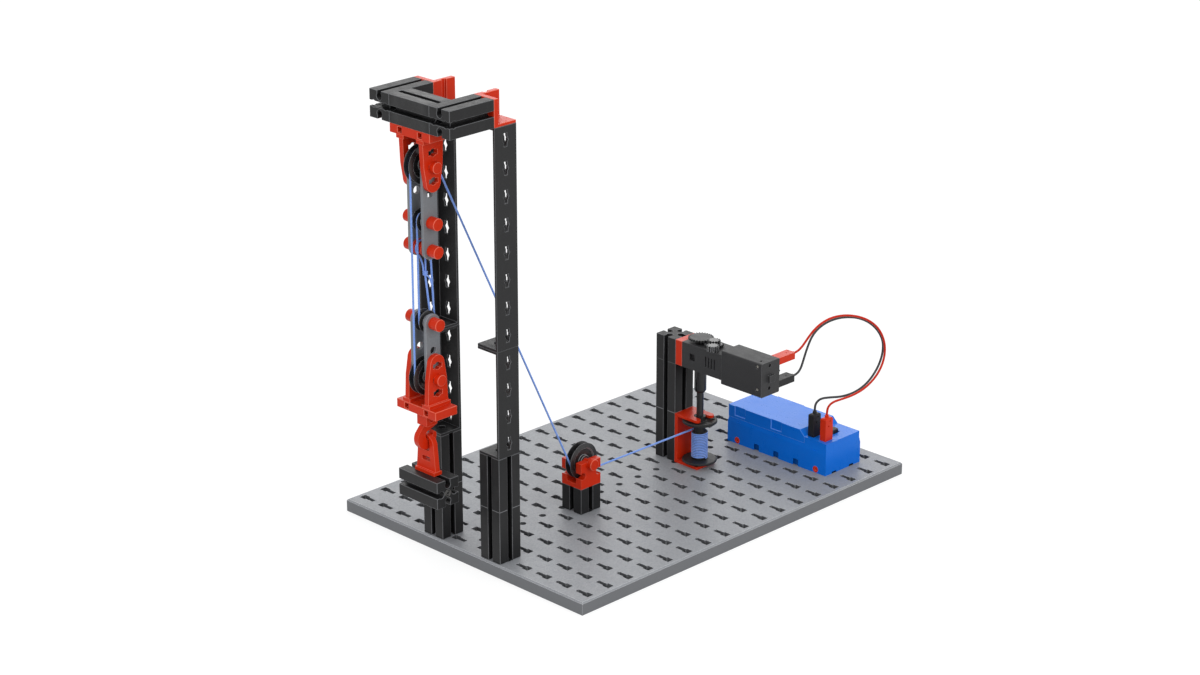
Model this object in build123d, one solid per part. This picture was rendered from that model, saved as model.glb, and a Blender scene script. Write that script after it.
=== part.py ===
"""Pulley demonstrator: a four-fall tackle hung from a girder frame, hauled by a motor winch.

The frame of reference has its origin at the centre of the base plate's underside. X runs along
the plate's long side, Y along its short side and Z up. "Near" is toward -Y, "far" toward +Y.
All sizes are in millimetres.
"""
from build123d import *
import math
import os

# ---- construction set -------------------------------------------------------------------------
module = 15.0                # pitch of the set, and the side of a brick
pin_radius = 2.0             # every axle and pin
pin_play = 0.05              # radial play of a pin in a hole of its own body
running_play = 0.08          # radial play of what turns on a pin
side_play = 0.15             # axial play between pieces that turn against each other
groove_mouth = 3.0           # opening of a brick's groove
groove_floor = 4.9           # depth of a brick's groove
groove_radius = 1.9          # round channel at the groove's bottom

# ---- base plate -------------------------------------------------------------------------------
plate_length = 258.0
plate_width = 186.0
plate_thick = 7.2
plate_edge = 0.8             # bevel round the top
plate_margin = 2.5           # least land outside the outermost slots
slot_length = 10.0
slot_depth = 5.0
slot_stem = 2.6              # width of a slot's narrow end
slot_head = 4.3              # width of a slot's wide end
slot_head_length = 4.5

# ---- girder frame -----------------------------------------------------------------------------
tower_row = 1.5              # tower centres, in modules from the middle
tower_bricks = 2
short_girder = 60.0
long_girder = 120.0
girder_wall = 1.5
girder_slot_width = 2.0
girder_slot_height = 7.0
bracket_floor = 1.6
bracket_wall = 3.0
bracket_groove = 1.5         # depth of the groove in the bracket's inner wall
arm_length = 30.0

# ---- pulley blocks ----------------------------------------------------------------------------
block_plate_thick = 4.7
block_tunnel = 3.0           # square tunnels through the block plate
axle_drop = 15.0             # axle centre from the block plate's face
lug_inner = 6.0              # half the space between two lugs
lug_thick = 3.0
lug_height = 28.4
lug_foot = 5.5
lug_foot_height = 2.0
lug_tip_radius = 4.8
lug_slot_length = 6.0
lug_slot_height = 2.4
strut_thick = 1.8
strut_radius = 4.8           # half a strut's width and its end rounding
strut_hole_pitch = 15.0
axle_head = 3.0              # radius of the clips on the axle ends
axle_head_length = 3.2
strut_pin_head = 3.3
strut_pin_head_length = 5.8
axle_spacing = 114.3         # large pulley axles, upper to lower block

# ---- pulleys and rope -------------------------------------------------------------------------
rope_radius = 0.58
large_rim = 10.45            # outer radius
large_wrap = 7.7             # rope centre on the large pulley
small_rim = 6.0
small_wrap = 3.9             # rope centre on the small pulley
pulley_half_width = 2.4
hub_half_width = 3.2
hub_radius = 3.5
web_half_width = 1.5
groove_half_width = 1.9      # at the rim
spacer_radius = 3.2          # rope anchor
spacer_rib = 0.5
knot_radius = 1.45
knot_drop = 13.7             # knot below the anchor
loop_offset = 1.4            # loop round the anchor, beside the falls
tail_reach = (2.9, -2.0, -7.3)   # end of the rope's tail, from the knot

# ---- hook and weight --------------------------------------------------------------------------
hook_block_side = 7.5
hook_thick = 3.3
hook_radius = 6.4            # outer curve
hook_drop = 7.0              # centre of the outer curve below the half brick
throat_radius = 2.5
hook_stem_radius = 1.9
hook_stem_length = 4.6
eye_width = 5.6              # eye of the weight's lug
eye_height = 6.9
eye_corner = 1.2
eye_rim = 2.2                # material above the eye
weight_lug_thick = 3.0
weight_lug_height = 21.7     # lug above its brick

# ---- guide pulley and winch -------------------------------------------------------------------
guide_column = -3.0          # in modules
winch_column = 3.0
guide_floor = 2.5
guide_channel = 7.0
guide_axle_drop = 1.5        # axle centre below the fork's top
guide_head_radius = 3.15
guide_head_length = 3.0
spacer_thick = 5.0           # between column and gearbox
gearbox_length = 30.0
motor_length = 30.0
motor_height = 20.0
motor_boss = 4.2
drum_flange_radius = 10.0
drum_flange_thick = 1.8
drum_hub_radius = 3.25
drum_barrel_radius = 3.65
drum_rim = 0.45              # bevel on the flanges' edges
drum_ring = (4.9, 8.5)       # sunk ring on the upper flange
drum_ring_depth = 0.4
drum_ribs = 12
winding_radius = 4.25        # rope centre on the drum
winding_tube = 0.52          # radius of the modelled rope on the drum
winding_pitch = 1.5
drum_axis_reach = 12.5       # drum axis from the column's face
bracket_arm = 1.6
flange_gap = 0.4             # drum flange to the bracket's back and arm
sleeve_radius = 3.45
sleeve_length = 15.2
sleeve_cone = 1.5
sleeve_slit = 0.8

# ---- gear train -------------------------------------------------------------------------------
gear_module = 0.5
output_teeth = 27
idler_small_teeth = 13
idler_large_teeth = 20
pinion_teeth = 12
output_gear_thick = 1.2
idler_large_thick = 1.4
idler_small_thick = 2.2
pinion_thick = 3.4
gear_pin_radius = 0.75
gear_pin_length = 5.0
gear_backlash = 0.14
pressure_angle = 20.0        # degrees
pinion_bearing = 218.4       # degrees, from the idler's axis to the pinion's

# ---- power ------------------------------------------------------------------------------------
box_length = 75.0
box_width = 30.0
box_ledge = 15.3             # height of the box's lower part
box_height = 22.7
deck_height = 19.1           # socket deck
deck_length = 16.6
cover_slope = 3.7            # run of the slope from the cover down to the deck
box_wall = 1.6
cover_inset = 0.5
box_slant = 3.0              # height of the slanted band under the ledge
box_vent = (1.1, 0.8, 0.5)   # length, height and depth of a vent slit
box_vents = {-8.5: 2, -36.5: 2, -66.1: 3}    # place along the box and number of slits
end_notch = (3.8, 1.1)       # width and height of the low notches in the ends
battery_length = 48.5
battery_width = 26.5
battery_height = 17.5
box_pin_depth = 1.1
box_pin_dimple = 0.85
switch_travel = 3.0
switch_width = 4.4
switch_length = 3.6
switch_rise = 2.3            # knob above the deck
switch_well = 1.6            # depth of the recess
plug_width = 6.2
plug_thick = 4.0
plug_length = 13.6
plug_neck_radius = 1.2
plug_neck_length = 1.5
plug_pin_radius = 1.25
plug_pin_length = 7.0
plug_holes = ((-0.4, 4.9), (0.7, 1.9))       # across the plug, and down from its neck end
plug_hole_radius = 0.5
socket_radius = 1.1
red_socket_rise = 7.7        # sockets above and below the motor's axis
black_socket_rise = -5.8
lead_exit = 3.2              # straight run of a lead out of its neck
wire_radius = 0.65

# Free stretches of the leads between the plugs.
red_route = [
    (74.2, -62.3, 84.6), (77.0, -63.3, 88.4), (80.6, -64.6, 93.0), (86.4, -66.4, 97.2),
    (94.5, -68.3, 98.9), (104.0, -71.0, 98.0), (113.5, -75.0, 94.5), (121.3, -78.0, 87.9),
    (125.2, -80.2, 78.5), (125.0, -80.4, 68.3), (120.6, -79.2, 59.3), (112.8, -77.2, 53.1),
    (104.2, -75.2, 50.5), (96.8, -73.0, 49.6), (92.4, -71.1, 48.8), (90.0, -70.1, 47.2),
]
black_route = [
    (73.9, -61.8, 71.1), (75.8, -61.9, 75.2), (78.6, -62.0, 82.0),
    (82.8, -62.1, 88.9), (88.9, -62.7, 93.0), (97.5, -63.7, 94.9), (107.5, -65.2, 94.4),
    (117.5, -67.8, 91.8), (126.0, -71.0, 86.0), (130.5, -74.3, 77.5), (130.0, -75.0, 68.7),
    (126.3, -74.4, 60.3), (120.0, -73.0, 53.2), (112.0, -71.0, 49.2), (103.5, -68.2, 47.9),
    (96.2, -64.8, 48.6), (91.8, -62.4, 48.5), (89.8, -61.2, 46.9),
]

# ---- places that follow from the dimensions ---------------------------------------------------
half = module / 2
deck = plate_thick
edge_column = int((plate_length / 2 - slot_head / 2 - plate_margin) / module)
rows_per_side = int((plate_width / 2 - plate_margin) / module)
tower_x = -edge_column * module
tower_y = tower_row * module
girder_foot = deck + tower_bricks * 2 * module
girder_seam = girder_foot + short_girder
head_z = girder_seam + long_girder
arm_root = tower_x - half
arm_tip = arm_root - arm_length
hang_x = arm_tip + half
block_half = tower_y - half
upper_axle_z = head_z - block_plate_thick - axle_drop
lower_axle_z = upper_axle_z - axle_spacing
lower_face_z = lower_axle_z - axle_drop
lower_plate_z = lower_face_z - block_plate_thick
upper_pin_z = upper_axle_z - 2 * strut_hole_pitch
anchor_z = upper_axle_z - 3 * strut_hole_pitch
lower_pin_z = lower_axle_z + 2 * strut_hole_pitch
strut_inner = lug_inner - strut_thick
hook_top_z = lower_plate_z - hook_block_side
hook_z = hook_top_z - hook_drop
throat_z = hook_z + 0.9
hook_floor_z = throat_z - throat_radius
eye_top_z = hook_floor_z + 0.8
weight_top_z = eye_top_z + eye_rim
weight_brick_z = weight_top_z - weight_lug_height - module
guide_x = guide_column * module
guide_y = -half
guide_foot_z = deck + module
guide_axle_z = guide_foot_z + module - guide_axle_drop
line_z = guide_axle_z - large_wrap
winch_x = winch_column * module
drum_y = -drum_axis_reach
gearbox_z = deck + 4 * module
gearbox_top = gearbox_z + module
gearbox_near = -spacer_thick - gearbox_length
motor_near = gearbox_near - motor_length
motor_z = gearbox_z + half
drum_bottom = deck + bracket_arm + 1.0
drum_top = deck + 2 * module - bracket_arm - flange_gap
bracket_back = drum_axis_reach - drum_flange_radius - flange_gap
barrel_top = line_z + 0.2
output_gear_z = gearbox_top + side_play + idler_large_thick + side_play
idler_y = drum_y - gear_module * (output_teeth + idler_small_teeth) / 2
pinion_distance = gear_module * (idler_large_teeth + pinion_teeth) / 2
pinion_x = winch_x + pinion_distance * math.cos(math.radians(pinion_bearing))
pinion_y = idler_y + pinion_distance * math.sin(math.radians(pinion_bearing))
box_x = (edge_column - 1.5) * module
deck_z = deck + deck_height
deck_end = -box_length + deck_length
plug_y = motor_near + plug_width / 2 + 0.2
box_plug_x = box_x - 8.8
red_plug_y = -box_length + 5.4
black_plug_y = red_plug_y + 9.0
switch_x = box_x + 2.9
switch_y = -box_length + 10.2


# ---- helpers ----------------------------------------------------------------------------------
def block(x, y, z):
    """Box between the limits in each direction."""
    size = [high - low for low, high in (x, y, z)]
    middle = [(high + low) / 2 for low, high in (x, y, z)]
    return Pos(*middle) * Box(*size)


def bar(start, end, radius):
    """Round bar between two points."""
    start, end = Vector(*start), Vector(*end)
    return extrude(Plane(origin=start, z_dir=end - start) * Circle(radius), (end - start).length)


def across(profile, x, z, y0, y1):
    """Profile drawn in X and Z round (x, z), as thick as from y0 to y1."""
    plane = Plane(origin=(x, y1, z), x_dir=(1, 0, 0), z_dir=(0, -1, 0))
    return extrude(plane * profile, y1 - y0)


def along(profile, y, z, x0, x1):
    """Profile drawn in Y and Z round (y, z), as thick as from x0 to x1."""
    plane = Plane(origin=(x0, y, z), x_dir=(0, 1, 0), z_dir=(1, 0, 0))
    return extrude(plane * profile, x1 - x0)


def outline(points):
    """Flat face inside straight edges."""
    return make_face(Polyline(*points, close=True))


def both_sides(shape):
    """The shape and its mirror image on the other side of the middle plane."""
    return [shape, mirror(shape, Plane.XZ)]


def group(solids):
    """Separate solids kept in one sub-part."""
    return Compound([solid for item in solids for solid in item.solids()])


# ---- bricks and girders -----------------------------------------------------------------------
def groove_profile():
    """Mouth and round channel of a groove, cut down from a face at Y = 0."""
    centre = groove_floor - groove_radius
    return Pos(0, -centre / 2) * Rectangle(groove_mouth, centre) + Pos(0, -centre) * Circle(groove_radius)


def brick(length, width=module):
    """Grooved brick standing on its end, with a groove in each side."""
    section = Rectangle(width, module)
    for turn in range(4):
        section -= Rot(0, 0, 90 * turn) * Pos(0, half) * groove_profile()
    return extrude(section, length)


def end_groove(x, z, y0, y1):
    """Cutter for a level groove in an end face that looks toward -X."""
    return across(Rot(0, 0, 90) * groove_profile(), x, z, y0, y1)


def girder(height):
    """Angle girder with end plates and slotted flanges; the corner is at +X and -Y."""
    corner = block((-half, half), (-half, girder_wall - half), (0, height))
    corner += block((half - girder_wall, half), (-half, half), (0, height))
    for foot in (0, height - girder_wall):
        corner += block((-half, half), (-half, half), (foot, foot + girder_wall))
        corner -= bar((0, 0, foot), (0, 0, foot + girder_wall), pin_radius)
    w, h, r = girder_slot_width / 2, girder_slot_height / 2, pin_radius
    slot = outline([(w, h), (-w, h), (-w, r * 0.87), (-r, 0), (-w, -r * 0.87),
                    (-w, -h), (w, -h), (w, -r * 0.87), (r, 0), (w, r * 0.87)])
    count = int(height / module)
    for step in range(count):
        z = height / 2 + (step - (count - 1) / 2) * module
        corner -= across(slot, 0, z, -half, girder_wall - half)
        corner -= along(slot, 0, z, half - girder_wall, half)
    return corner


def tower_girder(side, foot, height):
    """Girder of one tower, its corner away from the middle and from the load."""
    shape = Pos(tower_x, -tower_y, foot) * girder(height)
    return shape if side < 0 else mirror(shape, Plane.XZ)


def tower_brick_stack(side):
    """Bricks at the foot of one tower."""
    return group([Pos(tower_x, side * tower_y, deck + step * 2 * module) * brick(2 * module)
                  for step in range(tower_bricks)])


# ---- base plate -------------------------------------------------------------------------------
def base_plate():
    """Plate with keyhole slots on the module grid and a middle row of holes."""
    plate = block((-plate_length / 2, plate_length / 2), (-plate_width / 2, plate_width / 2), (0, deck))
    plate = chamfer(plate.faces().sort_by(Axis.Z)[-1].edges(), plate_edge)
    stem, head, neck = slot_stem / 2, slot_head / 2, slot_length - slot_head_length
    keyhole = outline([(-stem, 0), (stem, 0), (stem, neck), (head, neck), (head, slot_length),
                       (-head, slot_length), (-head, neck), (-stem, neck)])
    slots = []
    for column in range(-edge_column, edge_column + 1):
        for row in range(rows_per_side):
            start = (row + 1) * module - slot_length
            slots.append(Pos(column * module, start, deck) * keyhole)
            slots.append(Pos(column * module, -start, deck) * Rot(0, 0, 180) * keyhole)
    plate -= extrude(Sketch() + slots, -slot_depth)
    holes = [Pos((column + 0.5) * module, 0, 0) * Circle(pin_radius)
             for column in range(-edge_column, edge_column)]
    return plate - extrude(Sketch() + holes, deck)


# ---- overhanging head -------------------------------------------------------------------------
def corner_bracket():
    """Near bracket: floor on the girder, wall behind the arm and wall toward the middle."""
    x0, x1 = tower_x - half, tower_x + half
    y0, y1 = -tower_y - half, -tower_y + half
    top = head_z + module
    shape = block((x0, x1), (y0, y1), (head_z, head_z + bracket_floor))
    shape += block((x0, x0 + bracket_wall), (y0, y1), (head_z, top))
    shape += block((x0, x1), (y1 - bracket_wall, y1), (head_z, top))
    groove = block((tower_x - groove_mouth / 2, tower_x + groove_mouth / 2),
                   (y1 - bracket_groove, y1), (head_z + bracket_floor, top))
    return shape - groove


def arm_brick(side):
    """Brick that reaches out over the load, with a level groove across its end."""
    shape = Pos(arm_tip, side * tower_y, head_z + half) * Rot(0, 90, 0) * brick(arm_length)
    y = side * tower_y
    return shape - end_groove(arm_tip, head_z + half, y - half, y + half)


def cross_brick(side):
    """Brick between the arms, its length along Y."""
    shape = Pos(hang_x, 0, head_z + half) * Rot(90, 0, 0) * brick(block_half)
    return shape if side < 0 else mirror(shape, Plane.XZ)


# ---- pulley blocks, drawn hanging down from the plate's face at Z = 0 --------------------------
def block_plate():
    """Plate of a block, above Z = 0, with two square tunnels."""
    shape = block((-half, half), (-block_half, block_half), (0, block_plate_thick))
    tunnel = block((-half, half), (-block_tunnel / 2, block_tunnel / 2),
                   ((block_plate_thick - block_tunnel) / 2, (block_plate_thick + block_tunnel) / 2))
    return shape - Pos(0, block_half / 2, 0) * tunnel - Pos(0, -block_half / 2, 0) * tunnel


def lug_slot():
    """Slot with a round middle, for an axle."""
    return Rectangle(lug_slot_length, lug_slot_height) + Circle(pin_radius + pin_play)


def lug(thick, height):
    """Tapered lug that hangs down from Z = 0, its flat sides toward Y, centred on Y = 0."""
    tip = height - lug_tip_radius
    body = outline([(-half + 0.5, 0), (half - 0.5, 0), (half - 1.2, -axle_drop),
                    (lug_tip_radius, -tip), (-lug_tip_radius, -tip), (1.2 - half, -axle_drop)])
    body += Pos(0, -tip) * Circle(lug_tip_radius)
    for step in (-1, 0, 1):
        body -= Pos(0, -axle_drop + step * half) * lug_slot()
    foot = block((-half, half), (-lug_foot / 2, lug_foot / 2), (-lug_foot_height, 0))
    return across(body, 0, 0, -thick / 2, thick / 2) + foot


def block_lugs():
    """Two lugs that carry the axle."""
    y = lug_inner + lug_thick / 2
    return group([Pos(0, side * y, 0) * lug(lug_thick, lug_height) for side in (-1, 1)])


def strut(holes):
    """Flat strut that hangs down from the axle at Z = 0, centred on Y = 0."""
    span = (holes - 1) * strut_hole_pitch
    shape = Pos(0, -span / 2) * SlotOverall(span + 2 * strut_radius, 2 * strut_radius, rotation=90)
    for step in range(holes):
        shape -= Pos(0, -step * strut_hole_pitch) * Circle(pin_radius + pin_play)
    return across(shape, 0, 0, -strut_thick / 2, strut_thick / 2)


def strut_pair(holes):
    """Struts on both sides of the pulleys, against the lugs."""
    y = lug_inner - strut_thick / 2
    return group([Pos(0, side * y, 0) * strut(holes) for side in (-1, 1)])


def headed_pin(reach, head, head_length):
    """Pin along Y with a head past each end of its reach."""
    shape = bar((0, -reach, 0), (0, reach, 0), pin_radius)
    for side in (-1, 1):
        shape += bar((0, side * reach, 0), (0, side * (reach + head_length), 0), head)
    return shape


def block_axle():
    """Axle of the large pulley, through both lugs."""
    return headed_pin(lug_inner + lug_thick, axle_head, axle_head_length)


def strut_pin():
    """Pin through both struts."""
    return headed_pin(lug_inner, strut_pin_head, strut_pin_head_length)


def anchor():
    """Ribbed spacer between the struts, which the rope is tied to."""
    core = bar((0, -strut_inner, 0), (0, strut_inner, 0), spacer_radius)
    for share in (-1.0, -0.66, 0.66, 1.0):
        y = share * (strut_inner - spacer_rib / 2)
        core += bar((0, y - spacer_rib / 2, 0), (0, y + spacer_rib / 2, 0), spacer_radius + 1.0)
    return core - bar((0, -strut_inner, 0), (0, strut_inner, 0), pin_radius + pin_play)


def pulley(rim, wrap):
    """Pulley on a hub that turns on a pin along Y; wrap is the rope centre's radius."""
    bore = pin_radius + running_play
    root = wrap - rope_radius - 0.15
    root_half = rope_radius + 0.25
    web = root + 0.35
    side = [(bore, hub_half_width), (hub_radius, hub_half_width), (hub_radius, web_half_width),
            (web, web_half_width), (web, pulley_half_width), (rim, groove_half_width), (root, root_half)]
    if web < hub_radius + 1.0:
        side = [(bore, hub_half_width), (web, hub_half_width), (web, pulley_half_width),
                (rim, groove_half_width), (root, root_half)]
    profile = outline(side + [(r, -y) for r, y in reversed(side)])
    return revolve(profile, Axis.Y)


def hang(shape):
    """Place a piece of the upper block by its plate's face."""
    return Pos(hang_x, 0, head_z - block_plate_thick) * shape


def stand(shape):
    """Place a piece of the lower block, which is the upper one turned over."""
    return Pos(hang_x, 0, lower_face_z) * Rot(180, 0, 0) * shape


# ---- hook and weight --------------------------------------------------------------------------
def hook_block():
    """Half brick under the lower block, with a bore for the hook's stem."""
    shape = block((hang_x - hook_block_side / 2, hang_x + hook_block_side / 2),
                  (-hook_block_side / 2, hook_block_side / 2), (hook_top_z, lower_plate_z))
    bore_top = hook_top_z + hook_stem_length + side_play
    shape -= bar((hang_x, 0, hook_top_z), (hang_x, 0, bore_top), hook_stem_radius + running_play)
    dimple = hook_block_side / 2 - hook_stem_radius - 0.6
    for side in (-1, 1):
        face = side * hook_block_side / 2
        shape -= bar((hang_x, face, hook_top_z + hook_block_side / 2),
                     (hang_x, face - side * dimple, hook_top_z + hook_block_side / 2), pin_radius)
    return shape


def load_hook():
    """Open hook, flat in X and Z, on a round stem."""
    top = hook_top_z - side_play
    cx, cz, r = hang_x - 1.7, hook_z, hook_radius
    lip = (hang_x + throat_radius + 0.3, throat_z + 2.0)
    end = (cx + r * math.cos(math.radians(16)), cz + r * math.sin(math.radians(16)))
    back = (cx + r * math.cos(math.radians(150)), cz + r * math.sin(math.radians(150)))
    floor = (hang_x - 0.2, hook_floor_z)
    edges = [
        Line((hang_x - 4.0, top), (hang_x + 3.7, top)),
        Line((hang_x + 3.7, top), (hang_x + 4.7, top - 1.2)),
        Line((hang_x + 4.7, top - 1.2), (hang_x - 1.5, throat_z + throat_radius)),
        ThreePointArc((hang_x - 1.5, throat_z + throat_radius),
                      (hang_x - 0.2 - throat_radius, throat_z), floor),
        ThreePointArc(floor, (hang_x - 0.2 + throat_radius * math.sin(math.radians(45)),
                              throat_z - throat_radius * math.cos(math.radians(45))),
                      (hang_x - 0.2 + throat_radius, throat_z)),
        Line((hang_x - 0.2 + throat_radius, throat_z), lip),
        ThreePointArc(lip, ((lip[0] + end[0]) / 2 + 0.1, (lip[1] + end[1]) / 2 - 0.4), end),
        ThreePointArc(end, (cx + r * math.cos(math.radians(-97)), cz + r * math.sin(math.radians(-97))), back),
        Line(back, (hang_x - 4.0, top)),
    ]
    profile = make_face(Curve() + edges)
    shape = across(profile, 0, 0, -hook_thick / 2, hook_thick / 2)
    return shape + bar((hang_x, 0, top - 1.0), (hang_x, 0, hook_top_z + hook_stem_length), hook_stem_radius)


def weight_lug():
    """Lug with an eye that hangs on the hook, its flat sides toward X."""
    foot_z = weight_brick_z + module
    tip_z = weight_top_z - lug_tip_radius - 1.2
    tip_r = lug_tip_radius + 1.2
    shape = outline([(-half, foot_z), (half, foot_z), (tip_r, tip_z), (-tip_r, tip_z)])
    shape += Pos(0, tip_z) * Circle(tip_r)
    shape -= Pos(0, eye_top_z - eye_height / 2) * RectangleRounded(eye_width, eye_height, eye_corner)
    shape -= Pos(0, foot_z + half + 0.6) * Rectangle(lug_slot_length, lug_slot_height)
    body = along(shape, 0, 0, hang_x - weight_lug_thick / 2, hang_x + weight_lug_thick / 2)
    return body + block((hang_x - lug_foot / 2, hang_x + lug_foot / 2), (-half, half),
                        (foot_z, foot_z + lug_foot_height))


def weight_brick():
    """Brick that serves as the load, its length along Y."""
    return Pos(hang_x, module, weight_brick_z + half) * Rot(90, 0, 0) * brick(2 * module)


# ---- guide pulley -----------------------------------------------------------------------------
def guide_bearing():
    """Fork with the axle's seat at the top and an open notch in each side."""
    x0, x1 = guide_x - half, guide_x + half
    y0, y1 = guide_y - half, guide_y + half
    z0, z1 = guide_foot_z, guide_foot_z + module
    shape = block((x0, x1), (y0, y1), (z0, z1))
    shape -= block((x0, x1), (guide_y - guide_channel / 2, guide_y + guide_channel / 2),
                   (z0 + guide_floor, z1))
    r = pin_radius + pin_play
    for x in (x0 + 1.5, x1 - 1.5):
        shape -= bar((x, y0, z0 + half), (x, y1, z0 + half), r)
        outer = x0 if x < guide_x else x1
        shape -= block((min(x, outer), max(x, outer)), (y0, y1), (z0 + half - 1.5, z0 + half + 1.5))
    seat = bar((guide_x, y0, guide_axle_z), (guide_x, y1, guide_axle_z), r)
    mouth = block((guide_x - 1.5, guide_x + 1.5), (y0, y1), (guide_axle_z, z1))
    return shape - seat - mouth


def guide_axle():
    """Axle with its clip on the near side."""
    near, far = guide_y - half, guide_y + half
    shape = bar((guide_x, near, guide_axle_z), (guide_x, far, guide_axle_z), pin_radius)
    return shape + bar((guide_x, near - guide_head_length, guide_axle_z),
                       (guide_x, near, guide_axle_z), guide_head_radius)


# ---- winch ------------------------------------------------------------------------------------
def column_bricks():
    """Two long bricks and a short one, one above the other."""
    foot = [(deck, 2 * module), (deck + 2 * module, 2 * module), (gearbox_z, module)]
    return group([Pos(winch_x, half, z) * brick(height) for z, height in foot])


def drum_bracket():
    """Back plate with a foot under the shaft and a fork round the drum's hub."""
    x0, x1 = winch_x - half, winch_x + half
    top = deck + 2 * module
    shape = block((x0, x1), (-bracket_back, 0), (deck, top))
    shape += block((x0, x1), (drum_y - 5.1, -bracket_back), (deck, deck + bracket_arm))
    shape -= bar((winch_x, drum_y, deck), (winch_x, drum_y, deck + bracket_arm), pin_radius + running_play)
    prong = (half - drum_hub_radius - 0.3) / 2
    arm = block((x0, x1), (drum_y - 3.0, -bracket_back), (top - bracket_arm, top))
    for x in (x0 + prong, x1 - prong):
        arm += bar((x, drum_y - 3.0, top - bracket_arm), (x, drum_y - 3.0, top), prong)
    notch = drum_hub_radius + 0.25
    arm -= bar((winch_x, drum_y, top - bracket_arm), (winch_x, drum_y, top), notch)
    arm -= block((winch_x - notch, winch_x + notch), (drum_y - 3.0 - prong, drum_y), (top - bracket_arm, top))
    return shape + arm


def rope_drum():
    """Two flanges on a barrel, with a hub up through the bracket's fork and a ribbed ring on top."""
    low, high, top = drum_bottom, drum_top, deck + 2 * module + 0.1
    bore, rim, inside = pin_radius + pin_play, drum_flange_radius, drum_flange_radius - drum_rim
    ring_in, ring_out = drum_ring
    side = [(bore, low), (inside, low), (rim, low + drum_rim), (rim, low + drum_flange_thick - 2 * drum_rim),
            (inside, low + drum_flange_thick - drum_rim), (drum_barrel_radius, low + drum_flange_thick),
            (drum_barrel_radius, barrel_top - 1.0), (drum_hub_radius, barrel_top - 0.6),
            (drum_hub_radius, high - drum_flange_thick), (inside, high - drum_flange_thick),
            (rim, high - drum_flange_thick + drum_rim), (rim, high - drum_rim), (inside, high),
            (ring_out, high), (ring_out, high - drum_ring_depth), (ring_in, high - drum_ring_depth),
            (ring_in, high), (drum_hub_radius, high), (drum_hub_radius, top), (bore, top)]
    shape = revolve(Plane.XZ * outline(side), Axis.Z)
    middle, width = (ring_in + ring_out) / 2, ring_out - ring_in + 0.1
    for step in range(drum_ribs):
        rib = Pos(middle, 0, high - 0.1 - drum_ring_depth / 2) * Box(width, 0.6, drum_ring_depth)
        shape += Rot(0, 0, (step + 0.5) * 360 / drum_ribs) * rib
    return Pos(winch_x, drum_y, 0) * shape


def winch_shaft():
    """Shaft from the bracket's foot up to the output gear."""
    return bar((winch_x, drum_y, deck + 0.2), (winch_x, drum_y, output_gear_z + output_gear_thick / 2), pin_radius)


def coupling_sleeve():
    """Collet on the shaft just under the gearbox."""
    top = gearbox_z - side_play
    low = top - sleeve_length
    side = [(pin_radius + pin_play, low), (sleeve_radius - 0.9, low), (sleeve_radius, low + sleeve_cone),
            (sleeve_radius, top), (pin_radius + pin_play, top)]
    shape = Pos(winch_x, drum_y, 0) * revolve(Plane.XZ * outline(side), Axis.Z)
    return shape - block((winch_x - sleeve_radius, winch_x), (drum_y - sleeve_slit / 2, drum_y + sleeve_slit / 2),
                         (low, low + sleeve_length * 0.6))


def winding_curve():
    """Helix of half turns; each half turn is two arcs that share a tangent."""
    low = drum_bottom + drum_flange_thick + winding_tube + 0.15
    high = line_z - rope_radius - 0.3 - winding_tube
    halves = int((high - low) / winding_pitch * 2)
    rise = winding_pitch / (2 * math.pi)
    edges, samples = [], []

    def place(angle):
        return Vector(winding_radius * math.cos(angle), winding_radius * math.sin(angle), low + rise * angle)

    def heading(angle):
        return Vector(-winding_radius * math.sin(angle), winding_radius * math.cos(angle), rise).normalized()

    for step in range(halves):
        a0, a1 = step * math.pi, (step + 1) * math.pi
        p0, p1, t0, t1 = place(a0), place(a1), heading(a0), heading(a1)
        span, turn = p1 - p0, 1 - t0.dot(t1)
        lean = span.dot(t0 + t1)
        reach = (-lean + math.sqrt(lean ** 2 + 2 * turn * span.dot(span))) / (2 * turn)
        q0, q1 = p0 + t0 * reach, p1 - t1 * reach
        middle = (q0 + q1) * 0.5
        edges.append(TangentArc(p0, middle, tangent=t0))
        edges.append(TangentArc(middle, p1, tangent=q1 - q0))
        for arc in edges[-2:]:
            samples.extend([arc @ (share / 12) for share in range(12)])
    start, finish = place(0), place(halves * math.pi)
    lead = 2 * winding_tube
    edges.insert(0, Line(start - heading(0) * lead, start))
    edges.append(Line(finish, finish + heading(halves * math.pi) * lead))
    turn_samples = 48
    gap = min((samples[i] - samples[j]).length for i in range(len(samples))
              for j in range(i + turn_samples // 2, len(samples))) - 2 * winding_tube
    print(f"winding: {halves / 2} turns, least gap to itself {gap:.2f}")
    return Pos(winch_x, drum_y, 0) * Wire([edge.edge() for edge in edges])


def rope_winding():
    """Rope wound on the drum's barrel, one unbroken tube."""
    path = winding_curve()
    section = Plane(origin=path @ 0, z_dir=path % 0) * Circle(winding_tube)
    return sweep(section, path=path)


# ---- gear train -------------------------------------------------------------------------------
def involute(angle):
    """Involute of an angle in radians."""
    return math.tan(angle) - angle


def gear(teeth, thick, phase):
    """Spur gear on Z = 0, with a tooth centred on the phase angle in degrees."""
    pitch = gear_module * teeth / 2
    base = pitch * math.cos(math.radians(pressure_angle))
    tooth = (math.pi * gear_module / 2 - gear_backlash) / pitch / 2
    points = []

    def half_angle(radius):
        if radius <= base:
            return tooth + involute(math.radians(pressure_angle))
        return tooth + involute(math.radians(pressure_angle)) - involute(math.acos(base / radius))

    flank = [pitch - 1.25 * gear_module, max(base, pitch - 0.5 * gear_module), pitch + gear_module]
    for index in range(teeth):
        middle = math.radians(phase) + 2 * math.pi * index / teeth
        for side, radii in ((-1, flank), (1, flank[::-1])):
            for radius in radii:
                angle = middle + side * half_angle(radius)
                points.append((radius * math.cos(angle), radius * math.sin(angle)))
    return extrude(outline(points), thick)


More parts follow.
